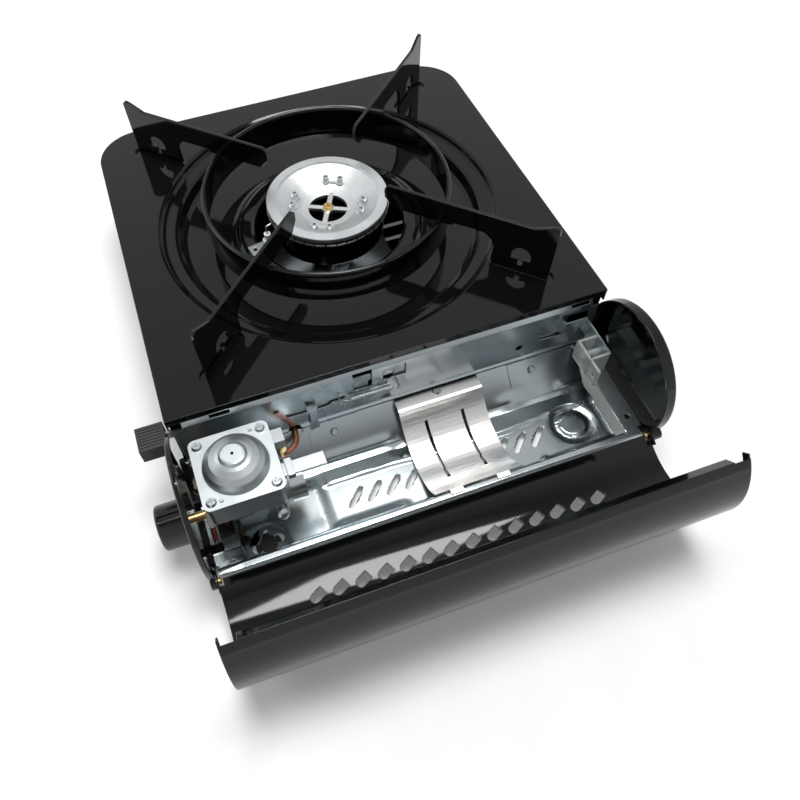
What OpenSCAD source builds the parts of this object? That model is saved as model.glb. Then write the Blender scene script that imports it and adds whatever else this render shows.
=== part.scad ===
// Butane cassette stove with its cartridge bay open.
// Millimetres. +Z is up and z = 0 is the table. The burner is at -X and the cartridge bay at +X.
// The knob and the lock lever are at -Y. The lid lies open at rest and the pan support is in place.

/* [Body] */
// Length of the burner plate along X
plate_len = 260; // [240:1:300]
// Width of the burner plate along Y
plate_w = 274; // [262:1:310]
// Height of the burner plate's top face above the table
plate_top = 75; // [73:0.5:84]
// Corner radius of the plate at the burner end
plate_corner_r = 30; // [10:1:45]
// Depth of the plate's skirt
skirt_h = 9; // [5:0.5:9]
// Depth of the hem along the plate's edge over the bay
hem_h = 4.6; // [3:0.2:5]
// Thickness of the pressed steel sheet
sheet = 0.8; // [0.6:0.1:1]
// Height of the rubber feet
foot_h = 5; // [3:0.5:8]
// Radius of the rubber feet
foot_r = 8; // [6:0.5:10]

/* [Dish and burner] */
// Distance from the plate's bay edge to the burner axis
burner_back = 128.7; // [124:0.5:140]
// Outer radius of the dish pressed in the plate
dish_r = 113; // [108:1:116]
// Depth of the dish floor below the plate
dish_depth = 12.4; // [10:0.2:13]
// Radius of the hole in the middle of the dish
dish_hole_r = 50; // [47:0.5:54]
// Radius of the burner cap
cap_r = 40.2; // [38:0.2:41]
// Height of the cap's rim above the plate
cap_rise = 11.2; // [10:0.2:13]
// Depth of the cap's hollow below its rim
cap_bowl = 9; // [6:0.5:10]
// Radius of the opening in the middle of the cap
cap_eye_r = 13; // [10:0.5:13]
// Radius of the circle of flame ports on the cap
port_ring_r = 23.5; // [21:0.5:26]
// Angle by which the cap is turned about its axis
cap_turn = -27; // [-45:1:45]
// Outer radius of the enamelled burner cup
cup_r = 37; // [34:0.5:38]
// Outer radius of the mixing tube
mix_r = 7.5; // [6.5:0.5:8]

/* [Pan support] */
// Outer radius of the support ring
ring_r = 80.6; // [72:0.2:90]
// Height of the support ring
ring_h = 22.3; // [16:0.1:24]
// Gap between the ring and the plate's face
ring_lift = 0.3; // [0.2:0.1:1]
// Height of the arm's band above the ring
arm_band = 12; // [9:0.5:15]
// Thickness of an arm
arm_t = 2; // [1.5:0.1:3]
// Radius of an arm's inner tip
arm_tip_r = 42; // [41:0.5:50]
// Radius of an arm's outer edge
arm_end_r = 152.5; // [149:0.5:156]
// Height of the horn above the arm's straight edge
horn_h = 5; // [2:0.5:8]
// Depth of the channels that hold the arms' feet
channel_depth = 1.5; // [1:0.1:2.5]

/* [Cartridge bay] */
// Distance from the plate's bay edge to the axis of the lid and cheeks
bay_off = 37; // [36:0.2:38]
// Outer radius of the closed lid and of the cheeks
lid_r = 43; // [42.5:0.1:44]
// Depth of the front cheek
front_d = 3.4; // [3.2:0.1:5]
// Depth of the rear cheek
rear_d = 6.8; // [5:0.1:9]
// Radius of the cartridge that the bay holds
cart_r = 34; // [33:0.1:34.2]
// Angle through which the lid has opened from closed
lid_open = 101; // [80:1:105]
// Clear gap between the lid and the cheeks
lid_gap = 0.4; // [0.3:0.1:1]
// Number of vent slots in the lid
vent_n = 14; // [8:1:14]
// Number of slanted slots in the tray
slot_n = 11; // [6:1:11]
// Width of the heat panel
panel_w = 57; // [45:1:60]

/* [Regulator and controls] */
// Side of the regulator's square flange
reg_side = 45; // [43:0.5:47]
// Radius of the regulator's dome
dome_r = 18.5; // [16:0.5:19]
// Height of the regulator's dome above its flange
dome_h = 12.3; // [9:0.1:12.5]
// Outer radius of the cartridge socket
socket_r = 12.5; // [12:0.1:13.5]
// Bore radius of the cartridge socket
socket_bore_r = 9.5; // [8:0.1:10.5]
// Radius of the control knob
knob_r = 13.5; // [12:0.5:16]
// Length of the control knob
knob_len = 18.5; // [12:0.5:22]
// Angle through which the lock lever is pressed
lever_swing = 18; // [12:1:18]
// Wire diameter of the return spring
wire_d = 0.6; // [0.5:0.05:0.7]
// Number of turns of the return spring
spring_turns = 24; // [16:1:24]

/* [Hidden] */
$fn = 64;
eps = 0.01;

// Colours
enamel = "#16181a";
zinc = "#b4bec2";
steel = "#8f979b";
alu = "#c6cacc";
brass = "#b98f3c";
copper = "#8a4630";
rubber = "#222222";
black_plastic = "#1b1b1c";

// Levels and lines that the pieces share
plate_x1 = 90;
plate_x0 = plate_x1 - plate_len;
half_w = plate_w / 2;
skin_gap = 0.2;
shell_in = sheet + skin_gap;
shell_half = half_w - shell_in;
shell_x0 = plate_x0 + shell_in;
shell_x1 = plate_x1 - 2;
base_z = foot_h;
plate_under = plate_top - sheet;
burner_x = plate_x1 - burner_back;
bay_x = plate_x1 + bay_off;
bay_z = base_z + 37;
floor_z = base_z + 1.5;
flange_z = base_z + 22;
rim_z = base_z + 19.2;
rim_x = bay_x + lid_r - 5;
cart_x = bay_x + 4;
cart_z = bay_z + 2;
cheek_in = half_w - skin_gap - sheet;
front_out = cheek_in + front_d;
rear_out = cheek_in + rear_d;
lid_half = cheek_in - lid_gap;

// Lid: hinge line, the angles of its two edges and the place of its open edge
hinge_arm = lid_r + 1.12;
hinge_a = -23.37;
hinge_x = bay_x + hinge_arm * cos(hinge_a);
hinge_z = bay_z + hinge_arm * sin(hinge_a);
lid_a0 = -25;
rail_shoulder_z = plate_top - 9;
lid_a1 = 180 - asin((rail_shoulder_z + 1.3 - bay_z) / lid_r);
lid_reach = hinge_x + hinge_arm * cos(180 + hinge_a - lid_open) + lid_r;

// The frame's origin is on the table, under the middle of the outline with the lid open
knob_front = front_out + 0.8 + knob_len;
mid_x = (plate_x0 + lid_reach) / 2;
mid_y = (rear_out - knob_front) / 2;

// Rail, slider and lever stand side by side along the bay edge of the plate
rail_x = plate_x1;
rail_face = rail_x + sheet;
rail_half = half_w - 3;
slide_gap = 0.4;
slider_t = 1;
slider_x1 = rail_x - 0.6;
slider_x0 = slider_x1 - slider_t;
lever_t = 1.6;
lever_x1 = slider_x0 - slide_gap;
lever_x0 = lever_x1 - lever_t;
slider_z0 = bay_z + 2;
slider_z1 = bay_z + 20;
pivot_y = -half_w + 49;
pivot_z = bay_z - 4;
crank_r = 22;
pivot_r = 2;
run_gap = 0.06;
slider_travel = crank_r * tan(lever_swing) * 0.98;
crank_pin_r = 1.5;

// Regulator stack
reg_x = bay_x - 1;
reg_y = -half_w + 31;
reg_top = bay_z + 28;
flange_t = 1.2;
membrane_t = 0.8;
block_top = reg_top - flange_t - membrane_t;
block_h = 18;
block_side = reg_side - 3;
screw_pitch = reg_side - 9.4;
socket_y0 = reg_y + block_side / 2 + 3;
socket_len = 9;
socket_y1 = socket_y0 + socket_len;
knob_x = bay_x + 1;
knob_z = bay_z - 12;
spindle_r = 3;
housing_r = 9;
housing_y0 = -cheek_in + 18.5;

// Cam on the spindle, and the piezo igniter beside it
cam_r = 4;
cam_rise = 6;
cam_turn = 150;
cam_gap = 0.2;
plunger_r = 2.4;
piezo_x0 = bay_x + 12;
piezo_x1 = bay_x + 21.5;
piezo_y = -half_w + 14.5;
piezo_half = 4.5;
shelf_z = knob_z - 5;

// Burner stack
cap_top = plate_top + cap_rise;
rim_w = 5.7;
cap_rim_t = 3.2;
ring_seat = cap_top - cap_rim_t - 1.6;
cup_top = ring_seat - 1;
cup_z0 = plate_top - 17;
base_z1 = cup_z0 + 2;
mix_z = plate_top - 27;
mix_turn = -26;
mix_start = 16;
mix_end = 92;
hub_top = cap_top - cap_bowl;
bridge_z = base_z + 20;

// Heat panel
panel_y = 26.5;
panel_t = 0.8;
panel_r = cart_r + 1.4;

// Pusher at the rear end of the bay
pusher_y = half_w - 12;
pusher_z0 = bay_z + 5;
pusher_z1 = bay_z + 17;

// Spring
spring_r = 2.2;
spring_x = rail_face + 3.3;
spring_z = bay_z + 6;
spring_y0 = -31;
spring_pitch = wire_d + 0.46;
spring_y1 = spring_y0 + spring_turns * spring_pitch;
hook_y0 = spring_y0 - 6;
hook_y1 = spring_y1 + 6;

// Shapes that repeat
module placed() {
  translate([-mid_x, -mid_y, 0])
    children();
}

// Extrudes an outline drawn in X and Z along Y
module prism_y(y0, y1) {
  translate([0, y1, 0])
    rotate([90, 0, 0])
      linear_extrude(y1 - y0)
        children();
}

// Extrudes an outline drawn in Y and Z along X
module prism_x(x0, x1) {
  translate([x0, 0, 0])
    rotate([90, 0, 90])
      linear_extrude(x1 - x0)
        children();
}

module block(x0, x1, y0, y1, z0, z1) {
  translate([x0, y0, z0])
    cube([x1 - x0, y1 - y0, z1 - z0]);
}

module rod_y(r, x, z, y0, y1) {
  translate([x, y1, z])
    rotate([90, 0, 0])
      cylinder(r = r, h = y1 - y0);
}

module rod_x(r, y, z, x0, x1) {
  translate([x0, y, z])
    rotate([0, 90, 0])
      cylinder(r = r, h = x1 - x0);
}

module rod_z(r, x, y, z0, z1) {
  translate([x, y, z0])
    cylinder(r = r, h = z1 - z0);
}

// A straight rod between two points
module rod(a, b, r) {
  d = b - a;
  translate(a)
    rotate([0, acos(d[2] / norm(d)), atan2(d[1], d[0])])
      cylinder(r = r, h = norm(d));
}

function unit(v) = v / norm(v);
function tangent(p, i) = unit(p[min(i + 1, len(p) - 1)] - p[max(i - 1, 0)]);

// Sideways direction at each point, carried along the line without twisting
function sideways(p, i, u) =
  i == len(p) ? [] :
  let (t = tangent(p, i), v = unit(u - (u * t) * t))
  concat([v], sideways(p, i + 1, v));

// A line through the points with each corner rounded off over length d in four steps
function rounded(p, d) = concat(
  [p[0]],
  [for (i = [1:len(p) - 2])
    let (
      a = p[i] + unit(p[i - 1] - p[i]) * min(d, norm(p[i - 1] - p[i]) * 0.48),
      b = p[i] + unit(p[i + 1] - p[i]) * min(d, norm(p[i + 1] - p[i]) * 0.48)
    )
    each [for (t = [0:0.25:1]) (1 - t) * (1 - t) * a + 2 * t * (1 - t) * p[i] + t * t * b]],
  [p[len(p) - 1]]
);

// Tube of radius r with n sides along a line; u is its sideways direction at each point
module tube_along(p, u, r, n) {
  m = len(p);
  pts = [for (i = [0:m - 1])
    let (v = cross(tangent(p, i), u[i]))
    each [for (k = [0:n - 1]) p[i] + r * (cos(360 * k / n) * u[i] + sin(360 * k / n) * v)]];
  sides = [for (i = [0:m - 2], k = [0:n - 1])
    let (a = i * n + k, b = i * n + (k + 1) % n, c = a + n, d = b + n)
    each [[a, c, b], [b, c, d]]];
  ends = [for (k = [1:n - 2])
    each [[0, k, k + 1], [(m - 1) * n, (m - 1) * n + k + 1, (m - 1) * n + k]]];
  polyhedron(points = pts, faces = concat(sides, ends), convexity = 10);
}

// A bent wire or pipe through a list of points
module wire(points, r, n, bend) {
  line = rounded(points, bend);
  tube_along(line, sideways(line, 0, [0.31, 0.22, 0.93]), r, n);
}

// Left-hand unit normal of a step along a path
function normal(a, b) = [a[1] - b[1], b[0] - a[0]] / norm(b - a);

// Point i of a path moved sideways so that a wall of thickness t keeps its thickness at a bend
function shifted(p, i, t) =
  let (
    n0 = i > 0 ? normal(p[i - 1], p[i]) : normal(p[i], p[i + 1]),
    n1 = i < len(p) - 1 ? normal(p[i], p[i + 1]) : n0,
    m = (n0 + n1) / norm(n0 + n1)
  )
  p[i] + m * t / (m * n1);

// Outline of a sheet of thickness t on the left of a path
function sheet_outline(p, t) =
  concat(p, [for (i = [len(p) - 1:-1:0]) shifted(p, i, t)]);

// Points on an arc
function arc_points(cx, cz, r, a0, a1, n) =
  [for (i = [0:n]) let (a = a0 + (a1 - a0) * i / n) [cx + r * cos(a), cz + r * sin(a)]];

// Ring sector in the plane, for angles up to 240 degrees
module sector(r_in, r_out, a0, a1) {
  far = r_out * 2.5;
  mid = (a0 + a1) / 2;
  intersection() {
    difference() {
      circle(r_out, $fn = 128);
      circle(r_in, $fn = 128);
    }
    polygon([
      [0, 0],
      far * [cos(a0), sin(a0)],
      far * [cos((a0 + mid) / 2), sin((a0 + mid) / 2)],
      far * [cos(mid), sin(mid)],
      far * [cos((a1 + mid) / 2), sin((a1 + mid) / 2)],
      far * [cos(a1), sin(a1)]
    ]);
  }
}

module stadium(x0, x1, r) {
  translate([x0, -r])
    square([x1 - x0, 2 * r]);
  for (x = [x0, x1])
    translate([x, 0])
      circle(r);
}

module rounded_square(side, r) {
  s = side / 2 - r;
  square([side, 2 * s], center = true);
  square([2 * s, side], center = true);
  for (x = [-s, s], y = [-s, s])
    translate([x, y])
      circle(r);
}

// Outline with two round corners at its low-X end
module d_outline(x0, x1, half, r) {
  translate([x0 + r, -half])
    square([x1 - x0 - r, 2 * half]);
  translate([x0, -half + r])
    square([r + 1, 2 * (half - r)]);
  for (s = [-1, 1])
    translate([x0 + r, s * (half - r)])
      circle(r);
}

// Pan screw head with a cross recess, seated at the origin
module screw_head(r, h) {
  difference() {
    cylinder(r1 = r, r2 = r * 0.72, h = h);
    for (a = [0, 90])
      rotate(a)
        translate([-r * 0.55, -r * 0.12, h * 0.45])
          cube([r * 1.1, r * 0.24, h]);
  }
}

module at_burner() {
  translate([burner_x, 0, 0])
    children();
}

// Places a piece on each of the four arms' lines
module on_arms() {
  for (a = [45, 135, 225, 315])
    rotate(a)
      children();
}

// ---- Body ----

foot_places = [
  [plate_x0 + 40, -half_w + 37],
  [plate_x0 + 40, half_w - 37],
  [bay_x + 21, -half_w + 34],
  [bay_x + 10, half_w - 32]
];
lever_slot_z0 = pivot_z - 5;
lever_slot_z1 = plate_top - 8.5;
lead_y = -half_w + 27;

module body_shell() {
  color(enamel)
    placed()
      difference() {
        union() {
          difference() {
            translate([0, 0, base_z])
              linear_extrude(plate_under - base_z)
                d_outline(shell_x0, shell_x1, shell_half, plate_corner_r - shell_in);
            translate([0, 0, base_z + sheet])
              linear_extrude(plate_top)
                d_outline(shell_x0 + sheet, shell_x1 + 20, shell_half - sheet,
                  plate_corner_r - shell_in - sheet);
          }
          block(shell_x1 - 4 - sheet, shell_x1 - 4, -shell_half + 1, shell_half - 1,
            base_z, flange_z - sheet);
        }
        // Vent slots in the side walls
        for (i = [0:8])
          block(burner_x - 50 + 12 * i, burner_x - 46 + 12 * i, -half_w, half_w,
            base_z + 26, base_z + 42);
        // Air slots in the floor under the burner
        for (i = [-3:3])
          translate([burner_x + 14 * i, 0, base_z - 1])
            linear_extrude(4)
              rotate(90)
                stadium(50, 76, 2);
        // Way out for the lock lever
        block(lever_x0 - 0.8, shell_x1 + 1, -half_w, -half_w + 5, lever_slot_z0, lever_slot_z1);
        // Holes for the stems of the feet
        for (i = [0, 1])
          rod_z(3 + run_gap, foot_places[i][0], foot_places[i][1], base_z - 1, base_z + 2);
      }
}

dish_floor = plate_top - dish_depth;
dish_path = [
  [dish_hole_r, dish_floor - 0.4],
  [dish_hole_r + 1, dish_floor + 2.6],
  [dish_hole_r + 3, dish_floor + 3.8],
  [dish_hole_r + 8.5, dish_floor + 3.8],
  [dish_hole_r + 11, dish_floor + 3],
  [dish_hole_r + 13.5, dish_floor + 0.8],
  [dish_hole_r + 16.5, dish_floor],
  [dish_r - 16.5, dish_floor],
  [dish_r - 13.5, dish_floor + 1.2],
  [dish_r - 11.5, plate_top - 5.6],
  [dish_r - 9.6, plate_top - 4.6],
  [dish_r - 4, plate_top - 4],
  [dish_r - 1.9, plate_top - 2.8],
  [dish_r - 1, plate_top - 0.9],
  [dish_r + 0.6, plate_top],
  [dish_r + 1.6, plate_top]
];
channel_r = 6.5;
channel_in = dish_r + 2 + channel_r;
channel_out = arm_end_r + 4 - channel_r;

module top_plate() {
  color(enamel)
    placed() {
      difference() {
        translate([0, 0, plate_under])
          linear_extrude(sheet)
            difference() {
              d_outline(plate_x0, plate_x1, half_w, plate_corner_r);
              translate([burner_x, 0])
                circle(dish_r + 1, $fn = 128);
            }
        at_burner()
          on_arms()
            translate([0, 0, plate_under - 1])
              linear_extrude(4)
                stadium(channel_in, channel_out, channel_r - sheet);
      }
      at_burner()
        rotate_extrude($fn = 128)
          polygon(sheet_outline(dish_path, -sheet));
      at_burner()
        on_arms()
          translate([0, 0, plate_under - channel_depth])
            difference() {
              linear_extrude(channel_depth + sheet / 2)
                stadium(channel_in, channel_out, channel_r);
              translate([0, 0, sheet])
                linear_extrude(channel_depth + sheet)
                  stadium(channel_in, channel_out, channel_r - sheet);
            }
      // Skirt on three sides and the hem along the bay
      translate([0, 0, plate_top - skirt_h])
        linear_extrude(skirt_h - sheet / 2)
          difference() {
            d_outline(plate_x0, plate_x1, half_w, plate_corner_r);
            d_outline(plate_x0 + sheet, plate_x1 + 1, half_w - sheet, plate_corner_r - sheet);
          }
      block(plate_x1 - sheet, plate_x1, -half_w + sheet, half_w - sheet,
        plate_top - hem_h, plate_top - sheet / 2);
    }
}

tray_path = [
  [shell_x1 - 10, flange_z],
  [plate_x1, flange_z],
  [plate_x1 + 13.5, flange_z - 13.5],
  [plate_x1 + 19, floor_z + 1.4],
  [plate_x1 + 23, floor_z],
  [rim_x - 12, floor_z],
  [rim_x - 9.5, floor_z + 1.8],
  [rim_x - 5, rim_z - 1.6],
  [rim_x - 3.6, rim_z],
  [rim_x - 0.6, rim_z],
  [rim_x, rim_z - 0.6],
  [rim_x, rim_z - 3]
];
slot_pitch = 12.4;
slot_x0 = bay_x + 3.5;
slot_y0 = -38;
tray_end = half_w - 12.5;
// Each rib's distance from the bay's axis and its two ends
tray_ribs = [[-7, -54, -7], [0, -53, 28], [15, -57, 48]];

module tray_slot() {
  translate([0, 0, base_z - 3])
    linear_extrude(30)
      rotate(-44)
        stadium(1.7, 15, 1.7);
}

module cartridge_tray() {
  color(zinc)
    placed()
      difference() {
        union() {
          difference() {
            prism_y(-cheek_in, cheek_in)
              polygon(sheet_outline(tray_path, -sheet));
            // The trough is open at its rear end, below the end flange
            prism_y(tray_end + 2.5, cheek_in + 1)
              polygon([
                [plate_x1 + 2, flange_z - 3], [rim_x - 4.5, rim_z - 3],
                [rim_x - 4.5, base_z - 5], [plate_x1 + 2, base_z - 5]
              ]);
          }
          // End flange over the open end
          prism_y(tray_end, cheek_in)
            polygon([
              [plate_x1 - 0.5, flange_z], [rim_x - 3.4, rim_z],
              [rim_x - 3.4, rim_z - sheet], [plate_x1 - 0.5, flange_z - sheet]
            ]);
          // Flat boss over the rear foot
          rod_z(foot_r, foot_places[3][0], foot_places[3][1], floor_z - sheet / 2,
            floor_z + sheet);
          // Raised ribs along the trough
          for (r = tray_ribs)
            rod_y(1.1, bay_x + r[0], floor_z - 0.4, r[1], r[2]);
        }
        // The flange lies between the side walls of the shell
        for (s = [-1, 1])
          translate([0, s * (shell_half - sheet + 2), 0])
            block(shell_x1 - 12, shell_x1, -2, 2, flange_z - 3, flange_z + 2);
        // Keep the near rim clear of the lid's ears and shell
        for (s = [-1, 1])
          translate([0, s * (cheek_in - 1.2), 0])
            block(rim_x - 5.5, rim_x + 1, -1.4, 1.4, base_z, rim_z + 1);
        for (i = [0:slot_n - 1])
          translate([slot_x0, slot_y0 + i * slot_pitch, 0])
            tray_slot();
        // Cross-shaped hole for the front foot's stem
        rod_z(5.6, foot_places[2][0], foot_places[2][1], base_z - 1, floor_z + 3);
        for (a = [0, 90, 180, 270])
          translate([foot_places[2][0], foot_places[2][1], base_z - 1])
            rotate(a + 10)
              translate([7.4, 0, 0])
                cylinder(r = 2.9, h = 6);
        rod_z(3 + run_gap, foot_places[3][0], foot_places[3][1], base_z - 1,
          floor_z + sheet / 2 - 0.6);
        // Slots that take the heat panel's tabs, the screw and the rivet
        for (s = [-1, 1])
          block(rim_x - 2.8, rim_x - 1.6, panel_y + s * 15 - 4.2, panel_y + s * 15 + 4.2,
            rim_z - 4, rim_z + 1);
        rod_z(1.5, bracket_x, bracket_y, base_z - 1, floor_z + 2);
        rod_z(1.5, rivet_x, panel_y, flange_z - 3, flange_z + 1);
        for (y = [tab_y[0], tab_y[1]])
          translate([rail_face + 5.5, y, flange_z - 5])
            rotate([0, 45, 0])
              cylinder(r = 1.3, h = 12, center = true);
        rod_z(1.8, bay_x + 24, half_w - 6, flange_z - 10, flange_z + 2);
      }
}

// Rail ----
tab_y = [-43.5, 93];
tab_half = 16;
window_1 = [-28, -16, bay_z + 9, bay_z + 25];
window_2 = [-9, 5.7, bay_z + 11.5, bay_z + 22];
rail_low = flange_z + 4;
key_y = -half_w + 70;
key_z = bay_z - 13;
rail_head = [
  [burner_x + dish_r + 2.4, plate_under - sheet],
  [rail_x - sheet - 1.2, plate_under - sheet],
  [rail_x - sheet - 1.2, rail_shoulder_z + 3],
  [rail_x, rail_shoulder_z]
];

module rail_section(foot_path) {
  polygon(sheet_outline(concat(rail_head, foot_path), sheet));
}

module side_rail() {
  color(zinc)
    placed() {
      difference() {
        union() {
          prism_y(-rail_half, rail_half)
            rail_section([[rail_x, rail_low + 1.4], [rail_x + 1.6, rail_low]]);
          for (y = tab_y)
            prism_y(y - tab_half, y + tab_half)
              polygon(sheet_outline([
                [rail_x, rail_low + 10], [rail_x, flange_z],
                [rail_x + 11.4, flange_z - 11.4]
              ], sheet));
          // Front foot of the rail reaches the tray beside the regulator
          prism_y(-rail_half, tab_y[0] - tab_half + 1)
            polygon(sheet_outline([
              [rail_x, rail_low + 10], [rail_x, flange_z],
              [rail_x + 1.5, flange_z - 1.5]
            ], sheet));
        }
        // Two square windows over the slider, with the pull of the spring between them
        for (w = [window_1, window_2])
          block(rail_x - 4, rail_x + 4, w[0], w[1], w[2], w[3]);
        // Slot for the slider's hook
        prism_x(rail_x - 2, rail_x + 4)
          translate([-half_w + 69.5, bay_z + 5])
            stadium(0, 22, 3.2);
        // Slot for the slider's spring hook
        prism_x(rail_x - 2, rail_x + 4)
          translate([hook_y0 - 2 - slider_travel - 1, spring_z])
            stadium(0, slider_travel + 5, 1.9);
        // Keyhole for the gas pipe
        prism_x(rail_x - 2, rail_x + 4)
          translate([key_y, key_z])
            circle(5);
        prism_x(rail_x - 2, rail_x + 4)
          translate([key_y - 12, key_z - 1])
            stadium(0, 10, 2.6);
        // Small round holes
        prism_x(rail_x - 2, rail_x + 4)
          translate([half_w - 54, bay_z + 1])
            circle(2.4);
        prism_x(rail_x - 2, rail_x + 4)
          translate([-half_w + 61, bay_z + 12])
            circle(1.8);
        // Hole for the ignition lead
        rod_x(2.2, lead_y, bay_z - 11, rail_x - 2, rail_x + 4);
        // Press hole for the lever's pin
        rod_x(pivot_r, pivot_y, pivot_z, rail_x - 2, rail_x + 4);
        // Window for the pusher
        block(rail_x - 4, rail_x + 6, pusher_y - 28, pusher_y + 3, pusher_z0 - 3, pusher_z1 + 2);
        // Latch slots in the sloping shoulder
        for (y = [-half_w + 30, half_w - 16])
          block(rail_x - 3, rail_x + 4, y - 6, y + 6, rail_shoulder_z + 0.8,
            rail_shoulder_z + 2.6);
        // Screw holes in the tabs
        for (y = tab_y)
          translate([rail_face + 5.5, y, flange_z - 5])
            rotate([0, 45, 0])
              cylinder(r = 1.3, h = 14, center = true);
        // Holes for the two pieces of the lid that reach past the rail's ends
        block(rail_x - 20, rail_x + 5, -rail_half - 1, -rail_half + 5, rail_shoulder_z - 2,
          plate_under - sheet - skin_gap - 1);
        block(rail_x - 20, rail_x + 5, rail_half - 5, rail_half + 1, rail_shoulder_z - 2,
          plate_under - sheet - skin_gap - 1);
      }
      // Punched ear that holds the fixed end of the spring
      difference() {
        block(rail_face - 0.2, spring_x + 1.4, hook_y1 - sheet, hook_y1, spring_z - 2.2,
          spring_z + 2.2);
        rod_y(1.1, spring_x, spring_z, hook_y1 - 2, hook_y1 + 1);
      }
    }
}

module rail_screws() {
  color(steel)
    placed()
      for (y = tab_y)
        translate([rail_face + 5.5, y, flange_z - 5])
          rotate([0, 45, 0])
            translate([0, 0, 0.67]) {
              screw_head(2.6, 1.6);
              translate([0, 0, -4])
                cylinder(r = 1.3, h = 4);
            }
}

// ---- Cheeks ----

cheek_skin = 1.2;
pin_r = 1.5;
pin_seat = 3;
cheek_round = 1.6;

// Plain drum from its inner rim at y = 0 to its face at -depth, with a rounded outer edge
module drum(r, depth, edge) {
  rotate([90, 0, 0])
    rotate_extrude($fn = 128)
      polygon(concat([[0, 0], [r, 0]], arc_points(r - edge, depth - edge, edge, 0, 90, 4),
        [[0, depth]]));
}

// The front cheek as drawn, with its inner rim at y = 0 and its face towards -Y
module cheek(depth) {
  sole = bay_z - base_z;
  difference() {
    drum(lid_r, depth, cheek_round);
    translate([0, eps, 0])
      drum(lid_r - cheek_skin, depth - cheek_skin + eps, cheek_round - cheek_skin);
    translate([-lid_r - 1, -depth - 1, -lid_r - 1])
      cube([2 * lid_r + 2, depth + 2, lid_r + 1 - sole]);
  }
  // Flat sole and the hinge lug
  intersection() {
    drum(lid_r - cheek_skin / 2, depth - cheek_skin / 2, cheek_round);
    translate([-lid_r, -depth, -sole])
      cube([2 * lid_r, depth, cheek_skin]);
  }
  translate([hinge_x - bay_x, 0, hinge_z - bay_z])
    rotate([90, 0, 0])
      cylinder(r = 4, h = depth - 0.2);
}

module front_cheek() {
  color(enamel)
    placed()
      difference() {
        translate([bay_x, -cheek_in, bay_z])
          cheek(front_d);
        // Notch for the lever's cap, seat for the hinge pin and hole for the spindle
        block(plate_x1 - 12, plate_x1 + 9.5, -front_out - 1, -cheek_in + 1, lever_slot_z0 - 4,
          plate_top);
        rod_y(pin_r, hinge_x, hinge_z, -cheek_in - pin_seat, -cheek_in + 1);
        rod_y(spindle_r + 0.4, knob_x, knob_z, -front_out - 1, -cheek_in);
      }
}

module rear_cheek() {
  color(enamel)
    placed()
      difference() {
        translate([bay_x, cheek_in, bay_z])
          mirror([0, 1, 0])
            cheek(rear_d);
        rod_y(pin_r, hinge_x, hinge_z, cheek_in - 1, cheek_in + pin_seat);
      }
}

module hinge_pins() {
  color(brass)
    placed()
      for (s = [-1, 1])
        translate([hinge_x, s * cheek_in, hinge_z])
          rotate([s * 90, 0, 0]) {
            translate([0, 0, -pin_seat])
              cylinder(r = pin_r, h = pin_seat + 2);
            translate([0, 0, 2])
              cylinder(r1 = 2.6, r2 = 2, h = 1);
          }
}

// ---- Lid ----

ear_r = 4;
ear_t = 1;
lid_edge = [bay_x + lid_r * cos(lid_a1), bay_z + lid_r * sin(lid_a1)];
return_w = 6.5;

module lid_band(y0, y1) {
  prism_y(y0, y1)
    translate([bay_x, bay_z])
      sector(lid_r - sheet, lid_r, lid_a0, lid_a1);
}

vent_pitch = (2 * half_w - 100) / 13;
vent_a = 12;

// One vent: a slanted slot with a round end, cut through the shell
module vent() {
  translate([lid_r - 4, 0, 0])
    rotate([90, 0, 90])
      linear_extrude(8)
        rotate(-28) {
          circle(2.9);
          translate([0, -2.9])
            square([6.4, 5.8]);
        }
}

module lid_closed() {
  difference() {
    union() {
      lid_band(-lid_half, lid_half);
      // Return flange along the free edge
      translate([lid_edge[0], 0, lid_edge[1]])
        rotate([0, 180 - lid_a1, 0])
          translate([0, 0, -sheet])
            linear_extrude(sheet)
              translate([0, -lid_half + 9])
                square([return_w, 2 * lid_half - 18]);
      // Ears that turn on the hinge pins
      for (s = [-1, 1])
        translate([0, s * (lid_half - ear_t / 2), 0])
          prism_y(-ear_t / 2, ear_t / 2)
            difference() {
              union() {
                translate([hinge_x, hinge_z])
                  circle(ear_r);
                translate([bay_x, bay_z])
                  sector(lid_r - 5, lid_r - sheet / 2, lid_a0, lid_a0 + 10);
              }
              translate([hinge_x, hinge_z])
                circle(pin_r + run_gap);
            }
      // Latch tabs at the corners of the free edge
      for (s = [-1, 1])
        translate([0, s * (lid_half - ear_t / 2), 0])
          prism_y(-ear_t / 2, ear_t / 2)
            translate([bay_x, bay_z])
              sector(lid_r - 4.6, lid_r - sheet / 2, lid_a1 - 9, lid_a1 + 3.5);
    }
    for (i = [0:vent_n - 1])
      translate([bay_x, (i - (vent_n - 1) / 2) * vent_pitch, bay_z])
        rotate([0, -vent_a, 0])
          vent();
    // Room in the shell for the hinge pins and their heads
    for (s = [-1, 1])
      translate([0, s * lid_half, 0]) {
        rod_y(pin_r + run_gap, hinge_x, hinge_z, -ear_t - eps, ear_t + eps);
        rod_y(3.2, hinge_x, hinge_z, s > 0 ? -ear_t - 2.4 : ear_t, s > 0 ? -ear_t : ear_t + 2.4);
      }
  }
}

module lid() {
  color(enamel)
    placed()
      translate([hinge_x, 0, hinge_z])
        rotate([0, lid_open, 0])
          translate([-hinge_x, 0, -hinge_z])
            lid_closed();
}

// ---- Heat panel ----

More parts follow.
